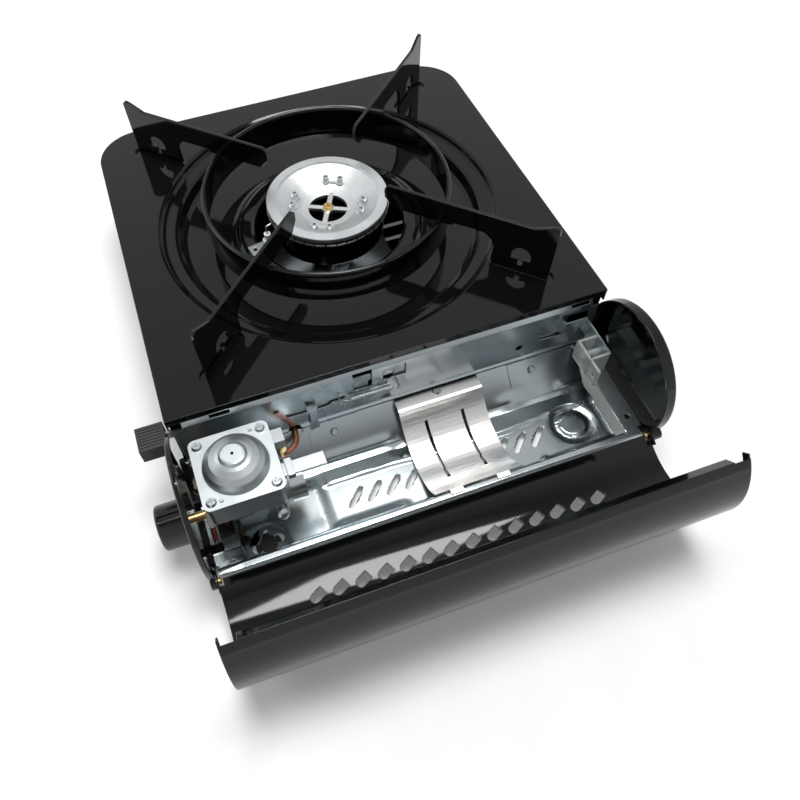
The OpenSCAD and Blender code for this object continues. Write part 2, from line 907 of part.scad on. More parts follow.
rivet_x = plate_x1 + 3.5;
tongue_x0 = plate_x1 - 40;
panel_a0 = 180 + asin((cart_z - flange_z - panel_t) / panel_r);
panel_path = concat(
  [[tongue_x0, flange_z], [cart_x - sqrt(pow(panel_r, 2) - pow(cart_z - flange_z, 2)) - 1, flange_z]],
  arc_points(cart_x, cart_z, panel_r, panel_a0 + 2, 310, 22),
  [[rim_x - 4.6, rim_z], [rim_x - 2.6, rim_z], [rim_x - 2.6, rim_z - 3]]
);

module heat_panel() {
  color(alu)
    placed()
      difference() {
        union() {
          prism_y(panel_y - panel_w / 2, panel_y + panel_w / 2)
            polygon(sheet_outline([for (i = [0:len(panel_path) - 3]) panel_path[i]],
              panel_t));
          for (s = [-1, 1])
            prism_y(panel_y + s * 15 - 4, panel_y + s * 15 + 4)
              polygon(sheet_outline([for (i = [len(panel_path) - 4:len(panel_path) - 1])
                panel_path[i]], panel_t));
        }
        for (s = [-1, 1])
          translate([0, panel_y + s * 12.5, 0])
            prism_y(-1.1, 1.1)
              translate([cart_x, cart_z])
                sector(panel_r - 4, panel_r + 2, 226, 296);
        rod_z(1.5, rivet_x, panel_y, flange_z - 3, flange_z + 3);
      }
}

module panel_rivet() {
  color(steel)
    placed() {
      rod_z(1.5, rivet_x, panel_y, flange_z - sheet - 0.4, flange_z + panel_t);
      translate([rivet_x, panel_y, flange_z + panel_t])
        cylinder(r1 = 3, r2 = 2.2, h = 1.2);
    }
}

module feet() {
  color(rubber)
    placed()
      for (i = [0:3])
        translate([foot_places[i][0], foot_places[i][1], 0]) {
          difference() {
            cylinder(r1 = foot_r - 1, r2 = foot_r, h = base_z);
            translate([0, 0, -1])
              cylinder(r = foot_r - 4, h = 2.4);
          }
          if (i == 2)
            translate([0, 0, base_z])
              cylinder(r = 5.4, h = floor_z - base_z + 0.6);
          else if (i == 3)
            translate([0, 0, base_z])
              cylinder(r = 3, h = floor_z + sheet / 2 - 0.8 - base_z);
          else
            translate([0, 0, base_z])
              cylinder(r = 3, h = 2);
          if (i > 1)
            translate([0, 0, base_z])
              cylinder(r = foot_r, h = floor_z - sheet - base_z);
        }
}

// ---- Burner ----

module burner_bracket() {
  color(zinc)
    placed()
      difference() {
        union() {
          block(burner_x - 52, burner_x + 52, -44, 44, bridge_z, bridge_z + 1);
          for (s = [-1, 1]) {
            block(burner_x + s * 51.5 - 0.5, burner_x + s * 51.5 + 0.5, -44, 44,
              base_z + sheet, bridge_z + 1);
            block(burner_x + s * 56 - 5, burner_x + s * 56 + 5, -44, 44,
              base_z + sheet, base_z + sheet + 1);
          }
        }
        rod_z(5, burner_x, 0, bridge_z - 1, bridge_z + 2);
      }
}

module burner_base() {
  color(steel)
    placed()
      at_burner() {
        difference() {
          union() {
            translate([0, 0, bridge_z + 1])
              cylinder(r = 12, h = mix_z - mix_r - 2 - bridge_z);
            translate([0, 0, mix_z - mix_r - 2])
              cylinder(r = 19, h = cup_z0 - (mix_z - mix_r - 2));
          }
          translate([0, 0, mix_z - mix_r - 0.8])
            cylinder(r = 15.6, h = 40);
          rotate(mix_turn)
            rod_x(mix_r, 0, mix_z, 9, 30);
        }
        // Stem that takes the cap's screw
        translate([0, 0, mix_z - mix_r - 1])
          cylinder(r = 3, h = hub_top - 3 - (mix_z - mix_r - 1));
      }
}

module burner_cup() {
  color(enamel)
    placed()
      at_burner()
        rotate_extrude($fn = 96)
          polygon([
            [8, cup_z0], [cup_r - 3, cup_z0], [cup_r, cup_z0 + 3], [cup_r, cup_top - 1],
            [cup_r + 2.4, cup_top - 1], [cup_r + 2.4, cup_top], [cup_r - 1, cup_top],
            [cup_r - 1, cup_z0 + 3.4], [cup_r - 3.4, cup_z0 + 1], [8, cup_z0 + 1]
          ]);
}

module flame_ring() {
  color(steel)
    placed()
      at_burner()
        difference() {
          translate([0, 0, cup_top])
            cylinder(r = cap_r + 0.3, h = ring_seat - cup_top, $fn = 96);
          translate([0, 0, cup_top - 1])
            cylinder(r = cap_r - 12, h = 4);
          for (i = [0:35])
            rotate(i * 10)
              translate([cap_r - 2.6, -0.5, cup_top - 1])
                cube([5, 1, 4]);
        }
}

port_z = cap_top - 5.2;

module port_pair() {
  for (s = [-1, 1])
    rotate(s * 12)
      translate([port_ring_r, 0, 0]) {
        translate([0, 0, port_z - 2.6])
          cylinder(r = 2.3, h = 4.4, $fn = 32);
        translate([0, 0, port_z - 3.4])
          cylinder(r = 3.4, h = 2.2, $fn = 32);
      }
  rotate(-12)
    rotate_extrude(angle = 24)
      translate([port_ring_r - 2.6, port_z - 3.4])
        square([5.2, 2.2]);
}

module burner_cap() {
  color(alu)
    placed()
      at_burner()
        difference() {
          union() {
            // Rim, hollow and underside of the casting
            rotate_extrude($fn = 96)
              polygon([
                [cap_eye_r, hub_top - 1], [cap_eye_r + 5, hub_top],
                [cap_r - rim_w - 8, cap_top - 4.6], [cap_r - rim_w - 0.9, cap_top - 1],
                [cap_r - rim_w - 0.9, cap_top - 0.6], [cap_r - rim_w, cap_top - 0.6],
                [cap_r - rim_w, cap_top], [cap_r - 0.4, cap_top],
                [cap_r, cap_top - 0.4], [cap_r, cap_top - cap_rim_t + 0.5],
                [cap_r - 0.5, cap_top - cap_rim_t], [cap_r - 8, cap_top - cap_rim_t],
                [cap_r - 9, ring_seat], [cap_r - 12, ring_seat],
                [cap_r - 14, cap_top - 7], [cap_eye_r + 5, hub_top - 3.4],
                [cap_eye_r, hub_top - 3.4]
              ]);
            rotate(cap_turn) {
              for (a = [0, 90]) {
                rotate(a)
                  translate([-cap_eye_r - 3, -1.6, hub_top - 2.8])
                    cube([2 * cap_eye_r + 6, 3.2, 2.2]);
              }
              translate([0, 0, hub_top - 3])
                cylinder(r = 4, h = 2.6);
              for (k = [0:3])
                rotate(90 * k)
                  port_pair();
            }
          }
          // Port holes, the screw hole and the notch in the rim
          rotate(cap_turn)
            for (k = [0:3], s = [-1, 1])
              rotate(90 * k + 12 * s)
                translate([port_ring_r, 0, port_z - 1])
                  cylinder(r = 1.2, h = 6, $fn = 24);
          translate([0, 0, hub_top - 6])
            cylinder(r = 1.6, h = 9);
          rotate(75)
            translate([cap_r + 0.8, 0, cap_top - 4])
              cylinder(r = 3.4, h = 8);
        }
}

module burner_screw() {
  color(brass)
    placed()
      at_burner() {
        translate([0, 0, hub_top - 0.4])
          screw_head(3.6, 2);
        translate([0, 0, hub_top - 3])
          cylinder(r = 1.6, h = 2.6);
      }
}

module mixing_tube() {
  color(steel)
    placed()
      at_burner()
        rotate(mix_turn)
          difference() {
            union() {
              rod_x(mix_r, 0, mix_z, mix_start, mix_end);
              rod_x(mix_r + 1.2, 0, mix_z, mix_end - 16, mix_end);
              // Collar against the burner base
              rod_x(mix_r + 1.6, 0, mix_z, 19.2, 21);
            }
            rod_x(mix_r - 1, 0, mix_z, mix_start - 1, mix_end - 1);
            rod_x(3.2, 0, mix_z, mix_end - 2, mix_end + 1);
            // Air inlets beside the nozzle
            block(mix_end - 12, mix_end - 4, -20, 20, mix_z - 3, mix_z + 3);
          }
}

module gas_nozzle() {
  color(brass)
    placed()
      at_burner()
        rotate(mix_turn)
          difference() {
            union() {
              rod_x(3.2, 0, mix_z, mix_end - 3.5, mix_end + 2);
              translate([mix_end, 0, mix_z])
                rotate([0, 90, 0])
                  cylinder(r = 5.2, h = 7, $fn = 6);
              rod_x(3.6, 0, mix_z, mix_end + 6, mix_end + 11);
            }
            rod_x(0.6, 0, mix_z, mix_end - 5, mix_end + 5);
            rod_x(pipe_r, 0, mix_z, mix_end + 4, mix_end + 12);
          }
}

// Copper pipe: out of the nozzle, down, through the keyhole and up to the regulator's outlet
pipe_r = 1.9;
nozzle_end = mix_end + 5;
pipe_z = key_z;
nut_x = bay_x - 19;
nut_y = reg_y + block_side / 2 + 4.5;
nut_z0 = reg_top - 29;
pipe_points = [
  [burner_x + nozzle_end * cos(mix_turn), nozzle_end * sin(mix_turn), mix_z],
  [burner_x + (nozzle_end + 11) * cos(mix_turn), (nozzle_end + 11) * sin(mix_turn), mix_z],
  [burner_x + (nozzle_end + 17) * cos(mix_turn), (nozzle_end + 17) * sin(mix_turn), mix_z - 5],
  [plate_x1 - 10, key_y + 3, pipe_z + 2],
  [plate_x1 - 4, key_y, pipe_z],
  [nut_x - 8, key_y - 1, pipe_z],
  [nut_x - 1, nut_y + 2, pipe_z + 2.5],
  [nut_x, nut_y, pipe_z + 7],
  [nut_x, nut_y, nut_z0 + 3]
];

module gas_pipe() {
  color(copper)
    placed()
      wire(pipe_points, pipe_r, 10, 6);
}

module pipe_nut() {
  color(brass)
    placed()
      difference() {
        translate([nut_x, nut_y, nut_z0])
          union() {
            cylinder(r = 4.4, h = 6, $fn = 6);
            translate([0, 0, 6])
              cylinder(r = 3, h = 3);
          }
        translate([0, 0, -1])
          rod_z(pipe_r, nut_x, nut_y, nut_z0, nut_z0 + 4);
      }
}

// ---- Igniter ----

spark_a = -79;
spark_r = cap_r + 5.2;
spark_x = burner_x + spark_r * cos(spark_a);
spark_y = spark_r * sin(spark_a);
step_z = dish_floor + 3.8;

module igniter_bracket() {
  color(zinc)
    placed()
      at_burner()
        rotate(spark_a)
          difference() {
            union() {
              block(spark_r - 5, dish_hole_r + 9, -4.5, 4.5, step_z, step_z + 1);
              translate([spark_r, 0, step_z])
                cylinder(r = 5, h = 1);
            }
            translate([spark_r, 0, step_z - 1])
              cylinder(r = 2.2, h = 4);
            translate([dish_hole_r + 5.5, 0, step_z - 1])
              cylinder(r = 1.4, h = 4);
          }
}

module igniter_ceramic() {
  color("#e9eae6")
    placed()
      translate([spark_x, spark_y, 0])
        difference() {
          union() {
            translate([0, 0, step_z - 9])
              cylinder(r = 2.2, h = 12);
            translate([0, 0, step_z + 1])
              cylinder(r = 3.6, h = 4);
            translate([0, 0, step_z + 5])
              cylinder(r1 = 3.6, r2 = 2.2, h = 1.5);
            translate([0, 0, step_z + 6.5])
              cylinder(r = 2.2, h = 3.5);
          }
          translate([0, 0, step_z - 10])
            cylinder(r = 0.7, h = 30, $fn = 24);
        }
}

module igniter_pin() {
  color(steel)
    placed()
      wire([
        [spark_x, spark_y, step_z - 12], [spark_x, spark_y, step_z],
        [spark_x, spark_y, cap_top - 4],
        [spark_x - 3.6 * cos(spark_a), spark_y - 3.6 * sin(spark_a), cap_top - 3.4]
      ], 0.7, 12, 1.4);
}

lead_r = 1.1;
sleeve_r = 2.1;
sleeve_top = [bay_x + 8.2, -half_w + 8.1, bay_z + 3.4];
sleeve_end = [bay_x + 15.4, -half_w + 8.1, bay_z - 1.9];
sleeve_dir = unit(sleeve_end - sleeve_top);
terminal = [piezo_x0 + 1.6, piezo_y + 1.3, knob_z + 3.2];
// From the electrode through the rail, along the front, through the sleeve and to the terminal
lead_points = [
  [spark_x, spark_y, step_z - 12],
  [spark_x, spark_y, step_z - 20],
  [spark_x + 4, spark_y - 6, bay_z - 6],
  [burner_x + 60, -72, bay_z - 10],
  [plate_x1 - 16, lead_y + 3, bay_z - 11],
  [plate_x1 - 6, lead_y, bay_z - 11],
  [plate_x1 + 8, lead_y, bay_z - 11],
  [bay_x - 16, -half_w + 11, bay_z - 20],
  [bay_x - 7, -half_w + 5.5, bay_z - 25],
  [bay_x + 7, -half_w + 5, bay_z - 25],
  [bay_x + 17, -half_w + 6, bay_z - 20],
  sleeve_end + 6 * sleeve_dir,
  sleeve_top - 6 * sleeve_dir,
  [bay_x - 1, -half_w + 11, bay_z + 6.5],
  [bay_x + 2, -half_w + 15, bay_z + 6],
  [bay_x + 7.5, piezo_y + 1, bay_z + 3],
  terminal + [0, 0, 3.3],
  terminal
];

module ignition_lead() {
  color("#7d2f24")
    placed()
      wire(lead_points, lead_r, 8, 5);
}

module piezo_unit() {
  color(black_plastic)
    placed()
      difference() {
        block(piezo_x0, piezo_x1, piezo_y - piezo_half, piezo_y + piezo_half, shelf_z, knob_z + 5);
        rod_x(plunger_r + run_gap, piezo_y, knob_z, piezo_x0 - 1, piezo_x1 - 1);
        rod_z(lead_r, terminal[0], terminal[1], terminal[2], knob_z + 6);
      }
}

module lead_cap() {
  color("#e6e7e4")
    placed()
      difference() {
        union() {
          rod(sleeve_top, sleeve_end, sleeve_r - 0.3);
          // Ribs round the sleeve
          for (i = [0:3])
            rod(sleeve_top + (0.4 + 2.2 * i) * sleeve_dir, sleeve_top + (1.9 + 2.2 * i) * sleeve_dir,
              sleeve_r);
        }
        rod(sleeve_top - sleeve_dir, sleeve_end + sleeve_dir, lead_r);
      }
}

module piezo_plunger() {
  color("#d9d9d4")
    placed() {
      rod_x(plunger_r, piezo_y, knob_z, knob_x + cam_r + plunger_r, piezo_x0 + 2);
      translate([knob_x + cam_r + plunger_r, piezo_y, knob_z])
        sphere(plunger_r, $fn = 32);
    }
}

// ---- Regulator ----

module regulator_body() {
  color("#5d6264")
    placed()
      difference() {
        union() {
          translate([reg_x, reg_y, block_top - block_h])
            linear_extrude(block_h)
              rounded_square(block_side, 3);
          // Boss of the cartridge socket
          rod_y(socket_r - 1.5, cart_x, cart_z, reg_y - 10, socket_y0);
          // Housing of the valve behind the knob
          rod_y(housing_r, knob_x, knob_z, housing_y0, reg_y);
          block(knob_x - 7, knob_x + 7, housing_y0 + 2, reg_y, knob_z, block_top - 4);
          // Outlet boss for the gas pipe
          block(nut_x - 4.5, nut_x + 4.5, reg_y + block_side / 2 - 8, nut_y + 4, nut_z0 + 9,
            nut_z0 + 16);
        }
        translate([reg_x, reg_y, block_top - 4])
          cylinder(r = dome_r - 2, h = 6);
        rod_y(spindle_r, knob_x, knob_z, housing_y0 - 1, housing_y0 + 8);
        rod_y(1.5, cart_x, cart_z, reg_y, socket_y0 + 1);
        for (x = [-1, 1], y = [-1, 1])
          translate([reg_x + x * screw_pitch / 2, reg_y + y * screw_pitch / 2, block_top - 6])
            cylinder(r = 1.4, h = 8);
        rod_x(3, relief_y, relief_z, cart_x, relief_x + 1);
      }
}

module regulator_diaphragm() {
  color(rubber)
    placed()
      translate([reg_x, reg_y, block_top])
        difference() {
          linear_extrude(membrane_t)
            rounded_square(block_side - 1, 3);
          for (x = [-1, 1], y = [-1, 1])
            translate([x * screw_pitch / 2, y * screw_pitch / 2, -1])
              cylinder(r = 1.6, h = 3);
        }
}

module regulator_spring() {
  color(steel)
    placed()
      translate([reg_x, reg_y, block_top + membrane_t])
        difference() {
          cylinder(r = 6, h = flange_t + dome_h - 3.4);
          translate([0, 0, -1])
            cylinder(r = 4.6, h = dome_h + 4);
        }
}

boss_r = 7;
// Half outline of the dome's outside: radius and height above the flange
dome_path = [
  [dome_r, 0], [dome_r - 0.6, dome_h * 0.22], [dome_r - 2.2, dome_h * 0.42],
  [dome_r - 5, dome_h * 0.62], [dome_r - 8.6, dome_h * 0.78], [boss_r + 0.8, dome_h * 0.85],
  [boss_r - 0.4, dome_h * 0.97], [boss_r - 1.4, dome_h], [0.9, dome_h]
];

module regulator_cover() {
  color(zinc)
    placed()
      translate([reg_x, reg_y, reg_top - flange_t])
        difference() {
          union() {
            linear_extrude(flange_t)
              difference() {
                rounded_square(reg_side, 4);
                circle(dome_r - 0.5);
              }
            translate([0, 0, flange_t])
              rotate_extrude($fn = 96)
                polygon(concat(dome_path,
                  [[0.9, dome_h - 1], [boss_r - 1.8, dome_h - 1],
                  [boss_r, dome_h * 0.76], [dome_r - 9.2, dome_h * 0.68],
                  [dome_r - 5.8, dome_h * 0.53], [dome_r - 3.2, dome_h * 0.35],
                  [dome_r - 1.6, dome_h * 0.18], [dome_r - 1, -flange_t],
                  [dome_r - 0.4, -flange_t]]));
          }
          for (x = [-1, 1], y = [-1, 1])
            translate([x * screw_pitch / 2, y * screw_pitch / 2, -1])
              cylinder(r = 1.6, h = 4);
        }
}

module regulator_screws() {
  color(steel)
    placed()
      translate([reg_x, reg_y, reg_top]) {
        for (x = [-1, 1], y = [-1, 1])
          translate([x * screw_pitch / 2, y * screw_pitch / 2, 0]) {
            screw_head(3, 1.7);
            translate([0, 0, -6])
              cylinder(r = 1.4, h = 6);
          }
        for (s = [-1, 1])
          translate([s * (screw_pitch / 2 + 0.6), -s * (screw_pitch / 2 - 5.4), 0])
            cylinder(r1 = 1.2, r2 = 0.8, h = 0.8);
      }
}

relief_x = cart_x + socket_r - 1.3;
relief_y = socket_y0 - 8;
relief_z = cart_z - 7;

module relief_cap() {
  color(steel)
    placed() {
      rod_x(3, relief_y, relief_z, cart_x + 5, relief_x);
      rod_x(4.3, relief_y, relief_z, relief_x, relief_x + 3.3);
      translate([relief_x + 3.3, relief_y, relief_z])
        intersection() {
          sphere(4.3, $fn = 48);
          translate([0, -6, -6])
            cube(12);
        }
    }
}

seal_y0 = socket_y0 + 1.5;
seal_y1 = socket_y0 + 3.4;

module cartridge_socket() {
  color(steel)
    placed()
      difference() {
        rod_y(socket_r, cart_x, cart_z, socket_y0, socket_y1);
        rod_y(socket_bore_r, cart_x, cart_z, seal_y1, socket_y1 + 1);
        rod_y(5, cart_x, cart_z, seal_y0, seal_y1 + 1);
        rod_y(1.5, cart_x, cart_z, socket_y0 - 1, socket_y0 + 3);
      }
}

module socket_seal() {
  color(rubber)
    placed()
      difference() {
        rod_y(5, cart_x, cart_z, seal_y0, seal_y1);
        rod_y(1.6, cart_x, cart_z, seal_y0 - 1, seal_y1 + 1);
      }
}

tongue_z = cart_z + socket_r + 0.2;
tongue_end = socket_y1 + 14.5;

module guide_tongue() {
  color(zinc)
    placed() {
      block(cart_x - 4, cart_x + 4, socket_y0 - 1, tongue_end, tongue_z, tongue_z + 1);
      prism_y(tongue_end - 1, tongue_end)
        polygon([
          [cart_x - 4, tongue_z], [cart_x + 4, tongue_z], [cart_x + 4, tongue_z - 1.2],
          [cart_x + 2, tongue_z - 2.6], [cart_x - 2, tongue_z - 2.6], [cart_x - 4, tongue_z - 1.2]
        ]);
      // Saddle that holds the tongue on the socket
      difference() {
        block(cart_x - 5.5, cart_x + 5.5, socket_y0 + 1, socket_y0 + 5, cart_z + socket_r - 3,
          tongue_z + 2.6);
        rod_y(socket_r, cart_x, cart_z, socket_y0, socket_y1);
        block(cart_x - 4, cart_x + 4, socket_y0, socket_y0 + 6, tongue_z - 0.5, tongue_z + 1);
      }
    }
}

bracket_x = bay_x + 14.5;
bracket_y = -half_w + 21.5;

module regulator_bracket() {
  color(zinc)
    placed()
      difference() {
        union() {
          translate([0, 0, floor_z])
            linear_extrude(1)
              polygon([
                [bay_x + 0.5, -half_w + 18], [bay_x + 0.5, -half_w + 41],
                [bay_x + 4, -half_w + 41], [bay_x + 19.5, -half_w + 27],
                [bay_x + 19.5, piezo_y - piezo_half], [piezo_x0, piezo_y - piezo_half],
                [piezo_x0, -half_w + 18]
              ]);
          // Web that rises to the valve housing
          prism_x(bay_x + 0.5, bay_x + 1.5)
            polygon([
              [-half_w + 18, floor_z], [-half_w + 41, floor_z],
              [-half_w + 34, knob_z - housing_r], [-half_w + 20, knob_z - housing_r]
            ]);
          // Leg and shelf that carry the piezo igniter
          prism_y(piezo_y - piezo_half, piezo_y + piezo_half)
            polygon([
              [piezo_x0, shelf_z - 1], [bay_x + 18.5, shelf_z - 1], [bay_x + 18.5, floor_z],
              [bay_x + 19.5, floor_z], [bay_x + 19.5, shelf_z - 1], [piezo_x1 + 3.5, shelf_z - 1],
              [piezo_x1 + 3.5, shelf_z + 1.5], [piezo_x1 + 2.5, shelf_z + 1.5],
              [piezo_x1 + 2.5, shelf_z], [piezo_x0, shelf_z]
            ]);
        }
        rod_z(1.6, bracket_x, bracket_y, floor_z - 1, floor_z + 2);
      }
}

module bracket_screw() {
  color(black_plastic)
    placed() {
      translate([bracket_x, bracket_y, floor_z + 1])
        screw_head(3.6, 2);
      rod_z(1.5, bracket_x, bracket_y, floor_z - sheet, floor_z + 1);
    }
}

// ---- Knob, lever and slider ----

knob_edge = 2;
groove_r = 2.9;
knob_bore = 10;

module control_knob() {
  color(black_plastic)
    placed()
      difference() {
        translate([knob_x, -front_out - 0.8, knob_z])
          rotate([90, 0, 0])
            rotate_extrude($fn = 96)
              polygon(concat([[0, 0], [knob_r, 0]],
                arc_points(knob_r - knob_edge, knob_len - knob_edge, knob_edge, 0, 90, 5),
                [[0, knob_len]]));
        // Two grooves along the grip, closed near the face
        for (a = [80, 260])
          rod_y(groove_r, knob_x + (knob_r + 0.4) * cos(a), knob_z + (knob_r + 0.4) * sin(a),
            -knob_front + 1.6, -front_out);
        rod_y(spindle_r - run_gap, knob_x, knob_z, -front_out - 0.8 - knob_bore, -front_out);
      }
}

// Radius of the cam at angle a, drawn in from the path of the plunger's round tip
function cam_at(a) =
  let (
    path = cam_r + plunger_r + cam_rise * a / cam_turn,
    climb = cam_rise / cam_turn * 180 / PI
  )
  path - plunger_r * norm([path, climb]) / path - cam_gap;

cam_outline = concat(
  [for (a = [0:10:cam_turn]) cam_at(a) * [cos(a), -sin(a)]],
  [cam_at(cam_turn) * [cos(cam_turn + 20), -sin(cam_turn + 20)]],
  [for (a = [90:-15:15]) (cam_r - cam_gap) * [cos(a), sin(a)]]
);

module valve_spindle() {
  color(brass)
    placed() {
      rod_y(spindle_r - run_gap, knob_x, knob_z, -front_out - 0.8 - knob_bore, housing_y0 + 7.5);
      // Cam that presses the plunger of the piezo igniter
      prism_y(piezo_y - 2.5, piezo_y + 2.5)
        translate([knob_x, knob_z])
          polygon(cam_outline);
    }
}

cap_y0 = -half_w - 18;
cap_y1 = -half_w - 2.2;
cap_z0 = pivot_z + 16;
cap_z1 = pivot_z + 27;

module lock_lever() {
  color(zinc)
    placed()
      difference() {
        prism_x(lever_x0, lever_x1)
          union() {
            polygon([
              [pivot_y + 3, pivot_z - 4], [pivot_y + 5, pivot_z],
              [pivot_y + 4, pivot_z + crank_r + 5.5], [pivot_y - 4, pivot_z + crank_r + 5.5],
              [-half_w + 8, pivot_z + 24], [cap_y1, pivot_z + 24],
              [cap_y0 + 4, pivot_z + 24], [cap_y0 + 4, pivot_z + 19],
              [-half_w + 8, pivot_z + 17.5], [pivot_y - 5, pivot_z - 1]
            ]);
            translate([pivot_y, pivot_z])
              circle(5);
          }
        rod_x(pivot_r + run_gap, pivot_y, pivot_z, lever_x0 - 1, lever_x1 + 1);
        // Slot that drives the slider's pin
        prism_x(lever_x0 - 1, lever_x1 + 1)
          translate([pivot_y, pivot_z + crank_r - 1.2])
            rotate(90)
              stadium(0, 2.9, crank_pin_r + 0.35);
      }
}

cap_w = 16;
cap_x = (lever_x0 + lever_x1) / 2 + 2;

module lever_cap() {
  color(black_plastic)
    placed()
      difference() {
        block(cap_x - cap_w / 2, cap_x + cap_w / 2, cap_y0, cap_y1, cap_z0, cap_z1);
        prism_x(lever_x0, lever_x1)
          polygon([
            [cap_y1 + 1, pivot_z + 24], [cap_y0 + 4, pivot_z + 24],
            [cap_y0 + 4, pivot_z + 19], [-half_w + 8, pivot_z + 17.5]
          ]);
        // Fine grooves along the top
        for (i = [-3:3])
          block(cap_x + 2 * i - 0.3, cap_x + 2 * i + 0.3, cap_y0 + 1, cap_y1 - 1, cap_z1 - 0.4,
            cap_z1 + 1);
      }
}

module lever_pin() {
  color(steel)
    placed() {
      rod_x(pivot_r, pivot_y, pivot_z, lever_x0 - 0.5, rail_face);
      rod_x(pivot_r + 1.6, pivot_y, pivot_z, lever_x0 - 1.8, lever_x0 - 0.5);
      rod_x(pivot_r + 1.4, pivot_y, pivot_z, rail_face, rail_face + 1);
    }
}

hook_y = -half_w + 82;

module clamp_slider() {
  color(zinc)
    placed() {
      difference() {
        block(slider_x0, slider_x1, pivot_y - 8, pusher_y - 10, slider_z0, slider_z1);
        for (y = [-18, 30, 60])
          block(slider_x0 - 1, slider_x1 + 1, y, y + 16, slider_z0 + 6, slider_z1 - 6);
      }
      // Pin in the lever's slot
      rod_x(crank_pin_r, pivot_y, pivot_z + crank_r, lever_x0 - 0.4, slider_x0 + 0.5);
      // Hook that comes through the rail and hangs down in the bay
      block(slider_x1 - 0.5, rail_face + 2.8, hook_y - 3.4, hook_y + 3.4, bay_z + 4.4, bay_z + 5.6);
      prism_x(rail_face + 1.8, rail_face + 2.8)
        polygon([
          [hook_y - 3.6, bay_z + 11], [hook_y + 3.6, bay_z + 9.4], [hook_y + 2.2, bay_z + 2],
          [hook_y + 3.6, bay_z - 13], [hook_y - 2.4, bay_z - 14.8], [hook_y - 1.6, bay_z + 1]
        ]);
      // Hook for the moving end of the spring
      difference() {
        block(slider_x1 - 0.5, spring_x + 1.4, hook_y0 - sheet - 0.1, hook_y0 - 0.1,
          spring_z - 1.5, spring_z + 1.5);
        rod_y(0.8, spring_x, spring_z, hook_y0 - 3, hook_y0 + 2);
      }
    }
}

module cartridge_pusher() {
  color(zinc)
    placed()
      difference() {
        union() {
          // Arm through the rail's window, side plate and end plate, bent from one strip
          translate([0, 0, pusher_z0])
            linear_extrude(pusher_z1 - pusher_z0)
              polygon([
                [slider_x1, pusher_y - 15], [rail_face + 4, pusher_y - 15],
                [rail_face + 4, pusher_y - sheet], [bay_x - 3, pusher_y - sheet],
                [bay_x - 3, pusher_y], [rail_face + 4 - sheet, pusher_y],
                [rail_face + 4 - sheet, pusher_y - 15 + sheet],
                [slider_x1, pusher_y - 15 + sheet]
              ]);
          // Skirt of the end plate
          block(rail_face + 8, bay_x - 7, pusher_y - sheet, pusher_y, pusher_z0 - 6,
            pusher_z0 + 1);
        }
        rod_y(2, bay_x - 12, pusher_z0 + 4, pusher_y - 3, pusher_y + 2);
      }
}

clip_x0 = bay_x - 19;
clip_x1 = bay_x + 7;

module pusher_clip() {
  color("#c9cfc9", 0.6)
    placed()
      difference() {
        union() {
          block(clip_x0, clip_x1, pusher_y - 14, pusher_y - 12.4, pusher_z0 - 4, pusher_z1 - 1);
          for (x = [clip_x0, bay_x - 4.6])
            block(x, x + 1.6, pusher_y - 14, pusher_y - sheet, pusher_z0 - 4, pusher_z1 - 1);
          rod_y(2, bay_x - 12, pusher_z0 + 4, pusher_y - 12.6, pusher_y);
        }
        block(bay_x - 2, bay_x + 4, pusher_y - 15, pusher_y - 12, pusher_z0 + 1, pusher_z0 + 5);
      }
}

// ---- Return spring ----

spring_steps = 8;
spring_sides = 6;
hook_n = 6;

// Centre line: a hook bar, the helix, and a second hook bar, as one line
function helix_point(i) =
  let (t = i / spring_steps, a = 360 * t)
  [spring_x + spring_r * cos(a), spring_y0 + spring_pitch * t, spring_z + spring_r * sin(a)];
helix_last = spring_turns * spring_steps;
spring_line = concat(
  [[spring_x, hook_y0, spring_z], [spring_x, hook_y0 + 1.5, spring_z],
  [spring_x, hook_y0 + 3, spring_z], [spring_x + 0.8, hook_y0 + 4.6, spring_z]],
  [for (i = [0:helix_last]) helix_point(i)],
  [[spring_x + 0.8, hook_y1 - 4.6, spring_z], [spring_x, hook_y1 - 3, spring_z],
  [spring_x, hook_y1 - 1.5, spring_z], [spring_x, hook_y1 - sheet - 0.1, spring_z]]
);

// The wire's sideways direction points away from the spring's axis
function away(p, i) =
  let (
    t = tangent(p, i),
    flat = [p[i][0] - spring_x, 0, p[i][2] - spring_z],
    out = norm(flat) > 0.5 ? unit(flat) : [1, 0, 0]
  )
  unit(out - (out * t) * t);

// Least distance between the wire's surfaces on neighbouring turns
spring_gap = min([for (i = [0:spring_steps:helix_last - spring_steps - 1], j = [-2:2])
  norm(helix_point(i) - helix_point(i + spring_steps + j))]) - wire_d;
echo(spring_gap_mm = spring_gap);

module return_spring() {
  color(steel)
    placed()
      tube_along(spring_line, [for (i = [0:len(spring_line) - 1]) away(spring_line, i)],
        wire_d / 2, spring_sides);
}

// ---- Pan support ----

ring_t = 1.5;
ring_z0 = plate_top + ring_lift;
ring_z1 = ring_z0 + ring_h;
bead_r = 1.5;
arm_top = ring_z1 + arm_band;
arm_foot = plate_top - channel_depth;
arm_foot_r = dish_r + 4.1;
window_r = 6.4;
window_x = (arm_foot_r + arm_end_r) / 2 - 1.8;
arm_low = ring_z1 - 3.4;

module trivet_ring() {
  color(enamel)
    placed()
      at_burner()
        difference() {
          rotate_extrude($fn = 128)
            union() {
              translate([ring_r - ring_t, ring_z0])
                square([ring_t, ring_h - bead_r]);
              translate([ring_r - bead_r, ring_z1 - bead_r])
                circle(bead_r, $fn = 32);
            }
          // Notches that the arms are welded in
          on_arms()
            block(ring_r - 6, ring_r + 3, -arm_t / 2, arm_t / 2, arm_low, ring_z1 + 1);
        }
}

